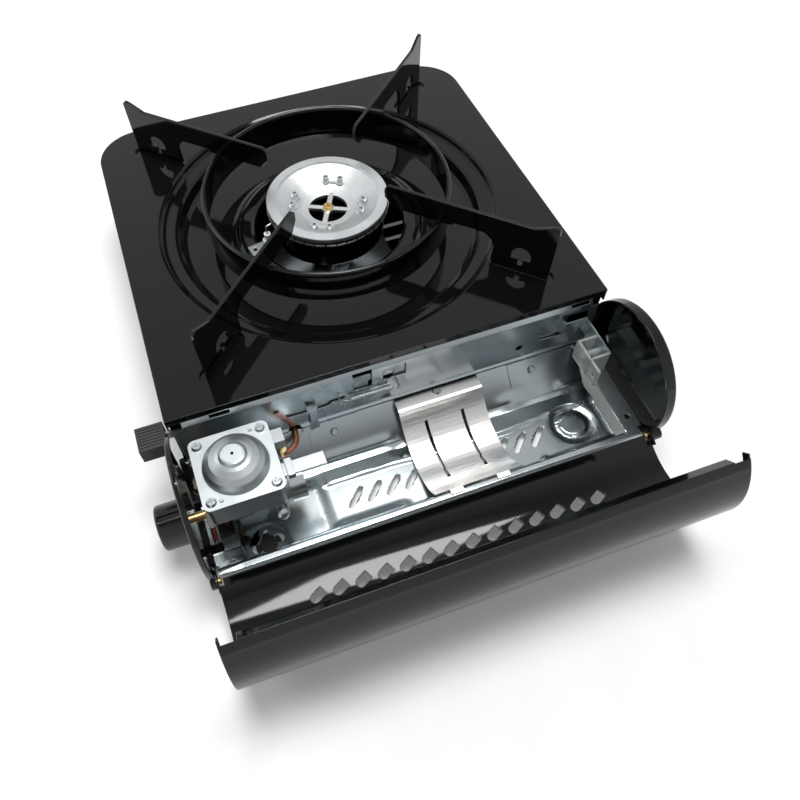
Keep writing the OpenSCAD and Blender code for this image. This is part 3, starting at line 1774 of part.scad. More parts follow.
// One arm as a flat plate: distance from the burner axis, and height
module arm_outline() {
  difference() {
    polygon([
      [arm_tip_r, arm_top - 8.5], [arm_tip_r, arm_top - 2.6], [arm_tip_r + 2.6, arm_top],
      [arm_end_r - 15, arm_top], [arm_end_r - 10, arm_top + 0.42 * horn_h],
      [arm_end_r - 5, arm_top + 0.88 * horn_h], [arm_end_r - 1.6, arm_top + horn_h],
      [arm_end_r, arm_top + horn_h - 1.6], [arm_end_r - 0.6, arm_foot],
      [arm_foot_r, arm_foot], [arm_foot_r - 2.6, arm_foot + 4],
      [arm_foot_r - 2, ring_z0 + 13], [arm_foot_r - 4, ring_z0 + 17.5],
      [arm_foot_r - 8.6, ring_z1 - 1.2], [ring_r + 9, ring_z1 - 1.2], [ring_r + 6, arm_low],
      [arm_tip_r + 6, arm_low]
    ]);
    // Half-round window with a slot below it
    intersection() {
      translate([window_x, ring_z0 + 11])
        circle(window_r);
      translate([window_x - window_r - 1, ring_z0 + 8.6])
        square([2 * window_r + 2, 12]);
    }
    translate([window_x - 1.5, ring_z0 + 4.2])
      square([3.2, 6]);
  }
}

module arm(a) {
  color(enamel)
    placed()
      at_burner()
        rotate(a)
          translate([0, arm_t / 2, 0])
            rotate([90, 0, 0])
              linear_extrude(arm_t)
                arm_outline();
}

module trivet_arm_1() {
  arm(45);
}

module trivet_arm_2() {
  arm(135);
}

module trivet_arm_3() {
  arm(225);
}

module trivet_arm_4() {
  arm(315);
}

body_shell();
top_plate();
cartridge_tray();
side_rail();
front_cheek();
rear_cheek();
heat_panel();
panel_rivet();
rail_screws();
feet();
burner_bracket();
burner_base();
burner_cup();
flame_ring();
burner_cap();
burner_screw();
mixing_tube();
gas_nozzle();
gas_pipe();
pipe_nut();
igniter_bracket();
igniter_ceramic();
igniter_pin();
ignition_lead();
piezo_unit();
lead_cap();
regulator_body();
regulator_diaphragm();
regulator_spring();
regulator_cover();
regulator_screws();
relief_cap();
cartridge_socket();
socket_seal();
guide_tongue();
regulator_bracket();
bracket_screw();
hinge_pins();
lever_pin();
return_spring();
trivet_ring();
trivet_arm_1();
trivet_arm_2();
trivet_arm_3();
trivet_arm_4();
lid();
control_knob();
valve_spindle();
piezo_plunger();
lock_lever();
lever_cap();
clamp_slider();
cartridge_pusher();
pusher_clip();
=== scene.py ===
import math

import bmesh
import bpy
import numpy as np
from mathutils import Matrix, Vector


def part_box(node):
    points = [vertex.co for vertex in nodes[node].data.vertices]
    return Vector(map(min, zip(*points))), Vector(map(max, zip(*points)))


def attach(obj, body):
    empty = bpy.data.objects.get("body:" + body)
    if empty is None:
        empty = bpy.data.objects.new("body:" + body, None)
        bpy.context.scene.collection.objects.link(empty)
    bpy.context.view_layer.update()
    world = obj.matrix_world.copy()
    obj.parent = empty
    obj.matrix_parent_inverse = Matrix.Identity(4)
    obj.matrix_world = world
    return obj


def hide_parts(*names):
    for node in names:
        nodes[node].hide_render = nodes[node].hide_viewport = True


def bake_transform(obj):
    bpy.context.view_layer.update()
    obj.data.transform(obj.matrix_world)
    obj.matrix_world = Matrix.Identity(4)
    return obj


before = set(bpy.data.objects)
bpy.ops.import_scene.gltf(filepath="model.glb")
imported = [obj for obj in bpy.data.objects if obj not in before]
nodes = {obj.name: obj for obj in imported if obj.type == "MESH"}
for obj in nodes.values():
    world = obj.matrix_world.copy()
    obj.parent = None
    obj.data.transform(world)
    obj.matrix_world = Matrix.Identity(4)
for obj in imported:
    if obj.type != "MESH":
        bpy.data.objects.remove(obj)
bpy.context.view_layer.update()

scene = bpy.context.scene
MM = 0.001

# ---------------------------------------------------------------- where things are
# Positions are in millimetres in the stove's own frame, whose origin lies on the plate's middle
# line. The burner's axis stands at BURNER_X there. place() moves a point to the row's frame.
BURNER_X = -38.7
cap_low, cap_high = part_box("burner_cap")
MID_X = BURNER_X - (cap_low.x + cap_high.x) / 2 / MM
MID_Y = -(cap_low.y + cap_high.y) / 2 / MM


def place(points):
    """Points in millimetres in the stove's frame, as metres in the row's frame."""
    p = np.array(points, dtype=float)
    p[..., 0] -= MID_X
    p[..., 1] -= MID_Y
    return p * MM


def placed(point):
    """One such point as a tuple."""
    return tuple(place(point))


# ---------------------------------------------------------------- shader helpers
def finish_of(name, base, metallic=0.0, rough=0.4, spec=0.5):
    """A material with its Principled shader set: the material, its node tree and the shader."""
    material = bpy.data.materials.new(name)
    material.use_nodes = True
    tree = material.node_tree
    shader = tree.nodes["Principled BSDF"]
    shader.inputs["Base Color"].default_value = (*base, 1.0)
    shader.inputs["Metallic"].default_value = metallic
    shader.inputs["Roughness"].default_value = rough
    shader.inputs["Specular IOR Level"].default_value = spec
    return material, tree, shader


def add(tree, kind, **values):
    """One node, with its attributes set."""
    node = tree.nodes.new(kind)
    for key, value in values.items():
        setattr(node, key, value)
    return node


def object_place(tree, scale=(1, 1, 1)):
    """Object coordinates, stretched by a scale."""
    coordinates = add(tree, "ShaderNodeTexCoord")
    mapping = add(tree, "ShaderNodeMapping")
    mapping.inputs["Scale"].default_value = scale
    tree.links.new(coordinates.outputs["Object"], mapping.inputs["Vector"])
    return mapping.outputs["Vector"]


def grain(tree, vector, scale, detail=3.0, rough=0.55):
    """Noise on a vector."""
    noise = add(tree, "ShaderNodeTexNoise")
    noise.inputs["Scale"].default_value = scale
    noise.inputs["Detail"].default_value = detail
    noise.inputs["Roughness"].default_value = rough
    tree.links.new(vector, noise.inputs["Vector"])
    return noise.outputs["Fac"]


def between(tree, value, low, high, a=0.0, b=1.0):
    """value carried from the span a..b to the span low..high."""
    span_map = add(tree, "ShaderNodeMapRange")
    span_map.inputs["From Min"].default_value = a
    span_map.inputs["From Max"].default_value = b
    span_map.inputs["To Min"].default_value = low
    span_map.inputs["To Max"].default_value = high
    tree.links.new(value, span_map.inputs["Value"])
    return span_map.outputs["Result"]


def tint(tree, value, dark, light, a=0.3, b=0.7):
    """A colour that runs from dark to light as value runs from a to b."""
    ramp_node = add(tree, "ShaderNodeValToRGB")
    first, last = ramp_node.color_ramp.elements
    first.position, last.position = a, b
    first.color, last.color = (*dark, 1), (*light, 1)
    tree.links.new(value, ramp_node.inputs["Fac"])
    return ramp_node.outputs["Color"]


def shade(base, factor):
    """A colour made darker or lighter, up to white."""
    return tuple(min(1.0, x * factor) for x in base)


def relief(tree, shader, height, strength, distance):
    """Bump from a height in the range 0..1; distance is in metres."""
    bump_node = add(tree, "ShaderNodeBump")
    bump_node.inputs["Strength"].default_value = strength
    bump_node.inputs["Distance"].default_value = distance
    tree.links.new(height, bump_node.inputs["Height"])
    tree.links.new(bump_node.outputs["Normal"], shader.inputs["Normal"])
    return bump_node


def soft_edges(tree, bump_node, radius):
    """Rounds the shading over sharp edges, below the bump; radius is in metres."""
    edge = add(tree, "ShaderNodeBevel", samples=4)
    edge.inputs["Radius"].default_value = radius
    tree.links.new(edge.outputs["Normal"], bump_node.inputs["Normal"])


# ---------------------------------------------------------------- finishes
def enamel(name):
    """Gloss black enamel: a hard clear surface with a faint orange peel, fine dust and soft edges."""
    material, tree, shader = finish_of(name, (0.0035, 0.0038, 0.0042), rough=0.07, spec=0.4)
    v = object_place(tree)
    dust = grain(tree, v, 1100, 2)
    broad = grain(tree, v, 18)
    colour = tint(tree, dust, (0.0028, 0.0031, 0.0034), (0.009, 0.0094, 0.0098), 0.66, 0.9)
    tree.links.new(colour, shader.inputs["Base Color"])
    tree.links.new(between(tree, broad, 0.045, 0.10, 0.3, 0.7), shader.inputs["Roughness"])
    peel = relief(tree, shader, grain(tree, v, 160, 2), 0.35, 0.00002)
    soft_edges(tree, peel, 0.0009)
    return material


def sheet_zinc(name, base=(0.44, 0.485, 0.50), rough=(0.19, 0.27)):
    """Zinc-coated sheet: a smooth satin metal, slightly blue, with drawn streaks and a faint cloud."""
    material, tree, shader = finish_of(name, base, metallic=1.0)
    v = object_place(tree)
    cloud = grain(tree, v, 14)
    drawn = grain(tree, object_place(tree, scale=(9, 1, 9)), 90)
    mix = add(tree, "ShaderNodeMix", data_type="FLOAT")
    mix.inputs["Factor"].default_value = 0.35
    tree.links.new(cloud, mix.inputs["A"])
    tree.links.new(drawn, mix.inputs["B"])
    colour = tint(tree, mix.outputs["Result"], shade(base, 0.93), shade(base, 1.05))
    tree.links.new(colour, shader.inputs["Base Color"])
    tree.links.new(between(tree, cloud, *rough, 0.3, 0.7), shader.inputs["Roughness"])
    fine = relief(tree, shader, grain(tree, v, 1500, 2), 0.2, 0.00001)
    soft_edges(tree, fine, 0.0003)
    return material


def brushed(name, base, along, rough):
    """Brushed metal: noise stretched along one axis drives roughness, colour and relief."""
    material, tree, shader = finish_of(name, base, metallic=1.0)
    lines = grain(tree, object_place(tree, scale=along), 60, 4, 0.7)
    tree.links.new(tint(tree, lines, shade(base, 0.84), shade(base, 1.1)), shader.inputs["Base Color"])
    tree.links.new(between(tree, lines, *rough, 0.3, 0.7), shader.inputs["Roughness"])
    relief(tree, shader, lines, 0.25, 0.00003)
    return material


def cast(name, base, rough, depth=0.00006, scale=1100):
    """Cast or blasted metal with a fine even grain."""
    material, tree, shader = finish_of(name, base, metallic=1.0)
    v = object_place(tree)
    fine = grain(tree, v, scale, 4, 0.6)
    colour = tint(tree, grain(tree, v, 60), shade(base, 0.88), shade(base, 1.08))
    tree.links.new(colour, shader.inputs["Base Color"])
    tree.links.new(between(tree, fine, *rough, 0.3, 0.7), shader.inputs["Roughness"])
    relief(tree, shader, fine, 0.5, depth)
    return material


def plain(name, base, rough, depth=0.00003, clearness=0.0):
    """Moulded plastic, rubber or ceramic with a fine surface grain; clearness lets light through."""
    material, tree, shader = finish_of(name, base)
    v = object_place(tree)
    fine = grain(tree, v, 700)
    colour = tint(tree, grain(tree, v, 80), shade(base, 0.88), shade(base, 1.12))
    tree.links.new(colour, shader.inputs["Base Color"])
    rough_span = between(tree, fine, rough * 0.88, rough * 1.12, 0.3, 0.7)
    tree.links.new(rough_span, shader.inputs["Roughness"])
    relief(tree, shader, fine, 0.4, depth)
    if clearness:
        shader.inputs["Transmission Weight"].default_value = clearness
        shader.inputs["IOR"].default_value = 1.49
    return material


black = enamel("black_enamel_finish")
zinc = sheet_zinc("galvanised_sheet_finish")
zinc_bright = sheet_zinc("bright_zinc_finish", (0.56, 0.59, 0.60), (0.22, 0.32))
panel_alu = brushed("heat_panel_finish", (0.78, 0.77, 0.76), (60, 1, 60), (0.3, 0.42))
cap_alu = cast("burner_cap_finish", (0.64, 0.66, 0.665), (0.34, 0.46), 0.00003)
steel = sheet_zinc("plain_steel_finish", (0.50, 0.52, 0.53), (0.28, 0.4))
dome_steel = cast("regulator_dome_finish", (0.46, 0.495, 0.505), (0.36, 0.46), 0.00001, 900)
casting = cast("regulator_casting_finish", (0.42, 0.44, 0.45), (0.42, 0.56))
yellow = sheet_zinc("yellow_zinc_finish", (0.66, 0.47, 0.20), (0.24, 0.36))
copper = cast("copper_pipe_finish", (0.55, 0.23, 0.13), (0.25, 0.4), 0.00002)
rubber = plain("rubber_finish", (0.016, 0.016, 0.016), 0.7)
knob_black = plain("knob_finish", (0.004, 0.004, 0.004), 0.2, depth=0.00001)
cap_black = plain("lever_cap_finish", (0.02, 0.02, 0.021), 0.48)
dark_plastic = plain("dark_plastic_finish", (0.010, 0.010, 0.010), 0.4)
ceramic = plain("ceramic_finish", (0.82, 0.82, 0.79), 0.25)
white_plastic = plain("white_plastic_finish", (0.78, 0.79, 0.78), 0.35)
lead_red = plain("lead_finish", (0.20, 0.04, 0.025), 0.38)
clear = plain("clear_clip_finish", (0.80, 0.84, 0.82), 0.18, clearness=0.75)

FINISH = {
    black: ["body_shell", "top_plate", "front_cheek", "rear_cheek", "burner_cup", "trivet_ring",
            "trivet_arm_1", "trivet_arm_2", "trivet_arm_3", "trivet_arm_4", "lid"],
    zinc: ["cartridge_tray", "side_rail", "burner_bracket", "igniter_bracket", "regulator_bracket",
           "lock_lever", "clamp_slider", "cartridge_pusher"],
    dome_steel: ["regulator_cover"],
    zinc_bright: ["guide_tongue", "rail_screws", "regulator_screws", "panel_rivet",
                  "cartridge_socket"],
    panel_alu: ["heat_panel"],
    cap_alu: ["burner_cap"],
    steel: ["burner_base", "flame_ring", "mixing_tube", "igniter_pin", "regulator_spring",
            "relief_cap", "lever_pin", "return_spring"],
    casting: ["regulator_body"],
    yellow: ["burner_screw", "gas_nozzle", "pipe_nut", "hinge_pins", "valve_spindle"],
    copper: ["gas_pipe"],
    rubber: ["feet", "regulator_diaphragm", "socket_seal"],
    knob_black: ["control_knob"],
    cap_black: ["lever_cap"],
    dark_plastic: ["piezo_unit", "bracket_screw"],
    ceramic: ["igniter_ceramic"],
    white_plastic: ["lead_cap", "piezo_plunger"],
    lead_red: ["ignition_lead"],
    clear: ["pusher_clip"],
}
for finish, names in FINISH.items():
    for name in names:
        slots = nodes[name].data.materials
        slots.clear()
        slots.append(finish)


# ---------------------------------------------------------------- new pieces
def piece_of(name, mesh, sharp_angle):
    """An object at the origin for a finished mesh, smooth except at edges over an angle in degrees."""
    mesh.shade_smooth()
    mesh.set_sharp_from_angle(angle=math.radians(sharp_angle))
    piece = bpy.data.objects.new(name, mesh)
    scene.collection.objects.link(piece)
    return piece


def stand_for(piece, node, finish):
    """Give a new piece its finish and its slot, and hide the node that it stands for."""
    piece.data.materials.append(finish)
    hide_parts(node)


# ---------------------------------------------------------------- tubes
def rounded(points, bend, steps=7):
    """A route with its corners rounded.

    Each corner becomes a quadratic Bezier curve whose ends lie at the bend's length before and
    after the corner, or just short of half the way to the next one.
    """
    p = np.array(points, dtype=float)
    before, corner, after = p[:-2], p[1:-1], p[2:]
    back, on = before - corner, after - corner
    back_len = np.linalg.norm(back, axis=1, keepdims=True)
    on_len = np.linalg.norm(on, axis=1, keepdims=True)
    a = corner + back / back_len * np.minimum(bend, 0.48 * back_len)
    b = corner + on / on_len * np.minimum(bend, 0.48 * on_len)
    t = np.linspace(0, 1, steps)[None, :, None]
    arcs = (1 - t) ** 2 * a[:, None] + 2 * t * (1 - t) * corner[:, None] + t ** 2 * b[:, None]
    return np.vstack([p[:1], arcs.reshape(-1, 3), p[-1:]])


def tube(name, route, radius, sides=12):
    """A round tube along a route in millimetres.

    Point i, j lies at route[i] + radius * (cos(j) * side[i] + sin(j) * over[i]), where side is
    carried from ring to ring without twist and over is square to side and to the route.
    """
    p = np.array(route, dtype=float)
    along = np.gradient(p, axis=0)
    along /= np.linalg.norm(along, axis=1, keepdims=True)
    side = np.empty_like(along)
    first = np.cross(along[0], (0.3, 0.5, 0.81))
    side[0] = first / np.linalg.norm(first)
    for i in range(1, len(p)):
        carried = side[i - 1] - along[i] * np.dot(side[i - 1], along[i])
        side[i] = carried / np.linalg.norm(carried)
    over = np.cross(along, side)
    angle = np.linspace(0, 2 * np.pi, sides, endpoint=False)[None, :, None]
    points = p[:, None] + radius * (np.cos(angle) * side[:, None] + np.sin(angle) * over[:, None])
    i, j = np.meshgrid(np.arange(len(p) - 1), np.arange(sides), indexing="ij")
    k = (j + 1) % sides
    quads = np.stack([i * sides + j, i * sides + k, (i + 1) * sides + k, (i + 1) * sides + j], -1)
    last = (len(p) - 1) * sides
    ends = [list(range(sides - 1, -1, -1)), list(range(last, last + sides))]
    mesh = bpy.data.meshes.new(name)
    mesh.from_pydata(place(points.reshape(-1, 3)), [], quads.reshape(-1, 4).tolist() + ends)
    return piece_of(name, mesh, 50)


PIPE_R, LEAD_R, PIN_R = 1.9, 1.1, 0.7
PIPE_ROUTE = [
    (48.48, -42.52, 48), (58.37, -47.34, 48), (63.76, -49.97, 43), (80, -64, 31), (86, -67, 29),
    (100, -68, 29), (107, -78.5, 31.5), (108, -80.5, 36), (108, -80.5, 44)
]
# The electrode stands on this axis; its ceramic has a step, and its tip leans to the burner
PIN_X, PIN_Y = -30.04, -44.57
PIN_FOOT, PIN_STEP, PIN_TOP = 54.4, 66.4, 82.2
TIP_REACH, TIP_TURN = 3.6, math.radians(-79)
PIN_ROUTE = [
    (PIN_X, PIN_Y, PIN_FOOT), (PIN_X, PIN_Y, PIN_STEP), (PIN_X, PIN_Y, PIN_TOP),
    (PIN_X - TIP_REACH * math.cos(TIP_TURN), PIN_Y - TIP_REACH * math.sin(TIP_TURN), PIN_TOP + 0.6)
]
# The lead leaves the electrode's foot, runs under the regulator, through its sleeve and to the
# terminal of the piezo igniter
SLEEVE_TOP = np.array([135.2, -128.9, 45.4])
SLEEVE_END = np.array([142.4, -128.9, 40.1])
TERMINAL = np.array([140.6, -121.2, 33.2])
sleeve_way = (SLEEVE_TOP - SLEEVE_END) / np.linalg.norm(SLEEVE_TOP - SLEEVE_END)
SLEEVE_LEAD_IN = 6 * sleeve_way
LEAD_ROUTE = [
    (PIN_X, PIN_Y, PIN_FOOT), (PIN_X, PIN_Y, PIN_FOOT - 8), (PIN_X + 4, PIN_Y - 6, 36),
    (21.3, -72, 32), (74, -107, 31), (84, -110, 31), (98, -110, 31), (111, -126, 22),
    (120, -131.5, 17), (134, -132, 17), (144, -131, 22), SLEEVE_END - SLEEVE_LEAD_IN,
    SLEEVE_TOP + SLEEVE_LEAD_IN, (126, -126, 48.5), (129, -122, 48), (134.5, -121.5, 45),
    TERMINAL + (0, 0, 3.3), TERMINAL
]
for piece, node, finish in (
    (tube("gas_pipe_bent", rounded(PIPE_ROUTE, 6), PIPE_R, 16), "gas_pipe", copper),
    (tube("ignition_wire", rounded(LEAD_ROUTE, 5), LEAD_R), "ignition_lead", lead_red),
    (tube("electrode_wire", rounded(PIN_ROUTE, 1.4), PIN_R), "igniter_pin", steel),
):
    stand_for(piece, node, finish)
    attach(piece, "stove")

# The tension spring: a close helix about a line along Y, and at each end a round hook that
# reaches the hole of its plate
SPRING_X, SPRING_Z = 94.1, 48.0
COIL_FIXED, COIL_MOVING = -5.56, -31.0
COIL_R, COIL_WIRE, COIL_TURNS = 2.2, 0.33, 24
HOOK_R, HOOK_REACH, HOOK_TURN = 2.5, 0.9, 1.45 * np.pi


def spring_route():
    """Helix: x = r cos a, z = r sin a, y in step with a; a hook is not quite 3/4 of a circle."""
    a = np.linspace(0, 2 * np.pi * COIL_TURNS, COIL_TURNS * 20 + 1)
    y = COIL_FIXED + (COIL_MOVING - COIL_FIXED) * a / a[-1]
    helix = np.stack([SPRING_X + COIL_R * np.cos(a), y, SPRING_Z + COIL_R * np.sin(a)], -1)
    h = np.linspace(0, HOOK_TURN, 15)[1:]

    def hook(end_y, way):
        """The hook beyond end_y; it drifts towards the spring's axis as it turns."""
        drift = COIL_R * (1 - np.cos(h)) * 0.5 + 0.35 * (h / h[-1])
        middle = end_y + way * (HOOK_R + HOOK_REACH)
        return np.stack([
            SPRING_X + COIL_R - drift, middle - way * HOOK_R * np.cos(h), SPRING_Z + HOOK_R * np.sin(h)
        ], -1)

    return np.vstack([hook(COIL_FIXED, 1)[::-1], helix, hook(COIL_MOVING, -1)])


spring = tube("pull_back_spring", spring_route(), COIL_WIRE, 8)
stand_for(spring, "return_spring", zinc_bright)
placed((SPRING_X, COIL_FIXED, SPRING_Z))
placed((SPRING_X, COIL_MOVING, SPRING_Z))
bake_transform(spring)


# ---------------------------------------------------------------- embossed trough
def rise(d, width):
    """0 to 1 as d runs from 0 to width: 3 t^2 - 2 t^3."""
    t = np.clip(d / width, 0, 1)
    return t * t * (3 - 2 * t)


def span(v, low, high, soft):
    """1 between low and high, falling to 0 over the width soft outside them."""
    return rise(v - low + soft, soft) * rise(high - v + soft, soft)


def bump(x, y, at, size, tall):
    """A round swelling: tall * exp(-(dx/sx)^2 - (dy/sy)^2)."""
    return tall * np.exp(-((x - at[0]) / size[0]) ** 2 - ((y - at[1]) / size[1]) ** 2)


# Ends of the pressed pad along the bay, and how softly a crease ends
PAD_FRONT, PAD_REAR, CREASE_SOFT = -57, 126, 5
CREASE_A, CREASE_B, CREASE_DROP = 109.2, 123, 1.6
WALL_RISE, WALL_END = 1.9, 156
REAR_BOSS, FRONT_HOLE = (135.3, 105.8), (148.5, -103.6)


def emboss(x, y):
    """Height in millimetres that the pressing adds to the trough's floor at x, y.

    Two creases: the sheet rises by a straight line and drops over a short width. A slotted pad
    with its sides pressed up around it, a round moat around the rear boss, a bowl around the
    front foot's hole, and a few swellings.
    """
    crease_a = 1.1 * np.clip((x - 100) / 7.5, 0, 1) * rise(CREASE_A - x, CREASE_DROP)
    crease_a *= span(y, -52, -12, CREASE_SOFT) + span(y, 112, PAD_REAR, CREASE_SOFT)
    edge_b = CREASE_B + 3 * span(y, 20, 60, 40)
    crease_b = 1.5 * np.clip((x - 110) / (edge_b - 110), 0, 1) * rise(edge_b + 1.4 - x, CREASE_DROP)
    crease_b *= span(y, PAD_FRONT, PAD_REAR, CREASE_SOFT)
    fade = 1 - rise(x - WALL_END, 5)
    lip_x = 147.5 + 7 * span(y, -12, 72, 5) + 3.5 * span(y, 80, PAD_REAR, 5)
    lip = WALL_RISE * rise(x - lip_x, 6) * fade
    ends = WALL_RISE * (rise(-59 - y, 7) + rise(y - 125, 5)) * rise(x - 114, 10) * fade
    from_boss = np.hypot(x - REAR_BOSS[0], y - REAR_BOSS[1])
    moat = -1.1 * rise(15.5 - from_boss, 4) * rise(from_boss - 8.4, 1.8)
    bowl = -0.9 * rise(14.5 - np.hypot(x - FRONT_HOLE[0], y - FRONT_HOLE[1]), 3)
    swellings = (bump(x, y, (106, 73), (6, 7), 1.3) + bump(x, y, (113, -6), (5, 6), -1.1)
                 + bump(x, y, (129, 60), (9, 30), 0.5))
    return crease_a + crease_b + np.maximum(lip, ends) + moat + bowl + swellings


# The sheet's two faces on the floor, and the planes that cut the mesh: axis, first, last, step
FLOOR_LOW, FLOOR_TOP = 5.7, 6.5
CUTS = ((0, 99.0, 161.0, 1.3), (1, -119.0, 134.0, 2.2))


def pressed_trough():
    """The trough's own mesh, cut on a grid of planes and pressed to shape by emboss().

    The ribs are flattened first. A point moves by emboss() times a mask that is 1 on the floor
    and fades to 0 up the walls, so both faces of the sheet move alike.
    """
    sheet = bmesh.new()
    sheet.from_mesh(nodes["cartridge_tray"].data)
    bmesh.ops.remove_doubles(sheet, verts=sheet.verts, dist=2e-6)
    for axis, low, high, step in CUTS:
        for v in np.arange(low, high, step):
            at = np.zeros(3)
            at[axis] = v
            normal = np.zeros(3)
            normal[axis] = 1
            bmesh.ops.bisect_plane(sheet, geom=sheet.verts[:] + sheet.edges[:] + sheet.faces[:],
                                   dist=1e-7, plane_co=placed(at), plane_no=tuple(normal))
    mesh = bpy.data.meshes.new("cartridge_trough")
    sheet.to_mesh(mesh)
    sheet.free()
    xyz = np.empty(len(mesh.vertices) * 3)
    mesh.vertices.foreach_get("co", xyz)
    xyz = xyz.reshape(-1, 3)
    x = xyz[:, 0] / MM + MID_X
    y = xyz[:, 1] / MM + MID_Y
    z = xyz[:, 2] / MM
    off_boss = np.hypot(x - REAR_BOSS[0], y - REAR_BOSS[1]) > 12
    ribbed = (x > 113.2) & (x < 152.8) & (z < 9) & off_boss
    z = np.where(ribbed, np.clip(z, FLOOR_LOW, FLOOR_TOP), z)
    mask = rise(15.0 - z, 6) * rise(x - 100, 3) * rise(161 - x, 3) * rise(y + 120, 4) * rise(134 - y, 4)
    xyz[:, 2] = (z + emboss(x, y) * mask) * MM
    mesh.vertices.foreach_set("co", xyz.ravel())
    mesh.update()
    return piece_of("cartridge_trough", mesh, 38)


trough = pressed_trough()
stand_for(trough, "cartridge_tray", zinc)
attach(trough, "stove")

# ---------------------------------------------------------------- camera
# The camera fitted to the photograph: where it stands, its three turns, its focal length and the
# point that it looks at straight on, in pixels of the 800-pixel frame
EYE = [323.0, -94.9, 401.8]
YAW, PITCH, ROLL = (math.radians(a) for a in (162.984, -58.351, -2.916))
FRAME_PX, FOCAL_PX, CENTRE_U, CENTRE_V = 800, 708.67, 361.82, 427.12
SENSOR = 36.0
look = Vector((math.cos(PITCH) * math.cos(YAW), math.cos(PITCH) * math.sin(YAW), math.sin(PITCH)))
right = look.cross(Vector((0, 0, 1))).normalized()
up = right.cross(look)
right_turned = math.cos(ROLL) * right + math.sin(ROLL) * up
up_turned = -math.sin(ROLL) * right + math.cos(ROLL) * up
camera_data = bpy.data.cameras.new("camera")
camera = bpy.data.objects.new("camera", camera_data)
scene.collection.objects.link(camera)
turn = Matrix((right_turned, up_turned, -look)).transposed().to_4x4()
camera.matrix_world = Matrix.Translation(placed(EYE)) @ turn
camera_data.sensor_width = SENSOR
camera_data.lens = FOCAL_PX / FRAME_PX * SENSOR
camera_data.shift_x = (FRAME_PX / 2 - CENTRE_U) / FRAME_PX
camera_data.shift_y = (CENTRE_V - FRAME_PX / 2) / FRAME_PX
camera_data.clip_start = 0.01
camera_data.clip_end = 50.0
scene.camera = camera

# ---------------------------------------------------------------- world
scene.view_settings.view_transform = "Standard"
# What gloss and metal mirror, as grey levels by the height of the direction's end on a unit
# sphere: a pale room with a darker ceiling around the lamps
SKY_LOW, SKY_TOP = (0.85, 0.86, 0.87, 1), (0.55, 0.56, 0.57, 1)
SKY_TOP_HEIGHT = 0.97
SKY_LEVELS = ((0.55, 0.72), (0.80, 0.64), (0.88, 0.44), (0.94, 0.24))
FILL = (0.30, 0.305, 0.31, 1)
WHITE = (1, 1, 1, 1)
world = bpy.data.worlds.new("studio")
scene.world = world
world.use_nodes = True
w = world.node_tree
w.nodes.clear()
world_out = add(w, "ShaderNodeOutputWorld")
background = add(w, "ShaderNodeBackground")
direction = add(w, "ShaderNodeTexCoord")
split = add(w, "ShaderNodeSeparateXYZ")
w.links.new(direction.outputs["Generated"], split.inputs[0])
sky = add(w, "ShaderNodeValToRGB")
ramp = sky.color_ramp
ramp.elements[0].position = 0.0
ramp.elements[0].color = SKY_LOW
ramp.elements[1].position = SKY_TOP_HEIGHT
ramp.elements[1].color = SKY_TOP
for height, level in SKY_LEVELS:
    ramp.elements.new(height).color = (level, level * 1.01, level * 1.02, 1)
w.links.new(split.outputs["Z"], sky.inputs["Fac"])
world_path = add(w, "ShaderNodeLightPath")


def choose(is_second, first, second):
    """A colour node of the world: first where is_second is 0, second where it is 1."""
    choice = add(w, "ShaderNodeMix", data_type="RGBA")
    w.links.new(world_path.outputs[is_second], choice.inputs["Factor"])
    colour_sockets = [socket for socket in choice.inputs if socket.type == "RGBA"]
    for socket, colour in zip(colour_sockets, (first, second)):
        if isinstance(colour, tuple):
            socket.default_value = colour
        else:
            w.links.new(colour, socket)
    return next(socket for socket in choice.outputs if socket.type == "RGBA")


mirrored = choose("Is Glossy Ray", FILL, sky.outputs["Color"])
seen = choose("Is Camera Ray", mirrored, WHITE)
w.links.new(seen, background.inputs["Color"])
w.links.new(background.outputs["Background"], world_out.inputs["Surface"])


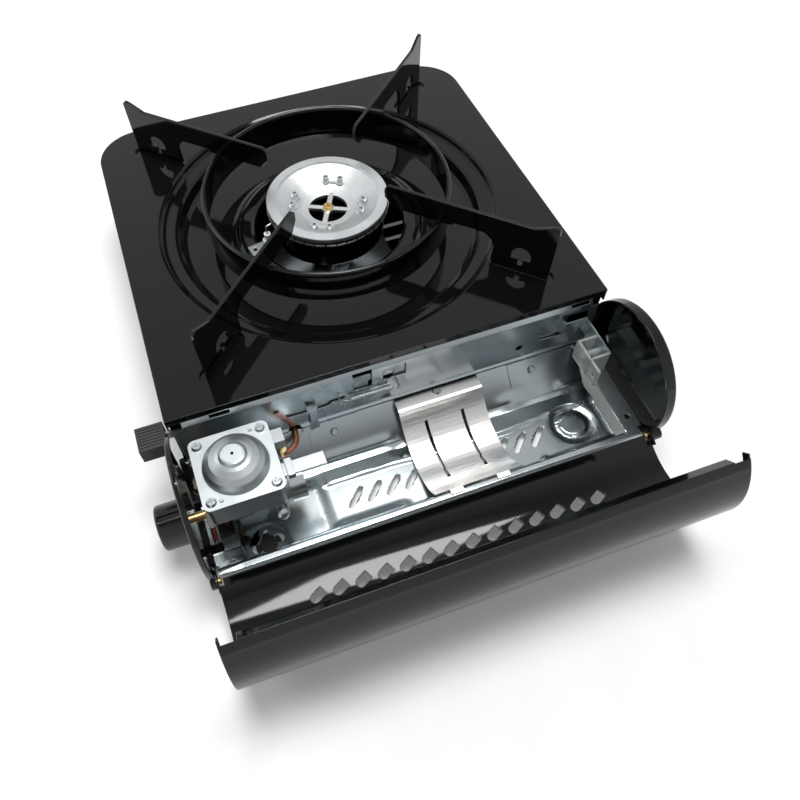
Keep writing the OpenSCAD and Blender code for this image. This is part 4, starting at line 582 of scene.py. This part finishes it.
# ---------------------------------------------------------------- lamps and floor
def softbox(name, at, aim, size, power):
    """A square or oblong area lamp at a point, facing another."""
    data = bpy.data.lights.new(name, "AREA")
    data.shape = "RECTANGLE"
    data.size, data.size_y = size
    data.energy = power
    lamp = bpy.data.objects.new(name, data)
    scene.collection.objects.link(lamp)
    lamp.location = at
    lamp.rotation_euler = (Vector(aim) - Vector(at)).to_track_quat("-Z", "Y").to_euler()


softbox("top_box", (-0.06, 0.1, 1.4), (0, 0, 0), (0.6, 0.6), 16)
softbox("left_box", (-0.75, -1.1, 1.0), (0, 0, 0.05), (0.9, 0.35), 3)

FLOOR_HALF, FLOOR_DROP = 30.0, 0.0002
floor_mesh = bpy.data.meshes.new("floor")
floor_corners = [(x * FLOOR_HALF, y * FLOOR_HALF, -FLOOR_DROP)
                 for x, y in ((-1, -1), (1, -1), (1, 1), (-1, 1))]
floor_mesh.from_pydata(floor_corners, [], [(0, 1, 2, 3)])
floor = bpy.data.objects.new("floor", floor_mesh)
scene.collection.objects.link(floor)
paper, tree, shader = finish_of("floor_paper", (0.9, 0.9, 0.9), rough=0.85, spec=0.2)
fibre = grain(tree, object_place(tree), 40)
tree.links.new(tint(tree, fibre, (0.9, 0.9, 0.9), (0.93, 0.93, 0.93)), shader.inputs["Base Color"])
# The paper stays white far from the lamps: to the camera and in mirrors it glows, the more the
# farther it lies from the object
floor_path = add(tree, "ShaderNodeLightPath")
looked_at = add(tree, "ShaderNodeMath", operation="MAXIMUM")
tree.links.new(floor_path.outputs["Is Camera Ray"], looked_at.inputs[0])
tree.links.new(floor_path.outputs["Is Glossy Ray"], looked_at.inputs[1])
distance = add(tree, "ShaderNodeVectorMath", operation="LENGTH")
tree.links.new(object_place(tree), distance.inputs[0])
glow = add(tree, "ShaderNodeMath", operation="MULTIPLY")
tree.links.new(between(tree, distance.outputs["Value"], 0.1, 1.0, 0.35, 1.9), glow.inputs[0])
tree.links.new(looked_at.outputs[0], glow.inputs[1])
tree.links.new(glow.outputs[0], shader.inputs["Emission Strength"])
shader.inputs["Emission Color"].default_value = WHITE
floor_mesh.materials.append(paper)
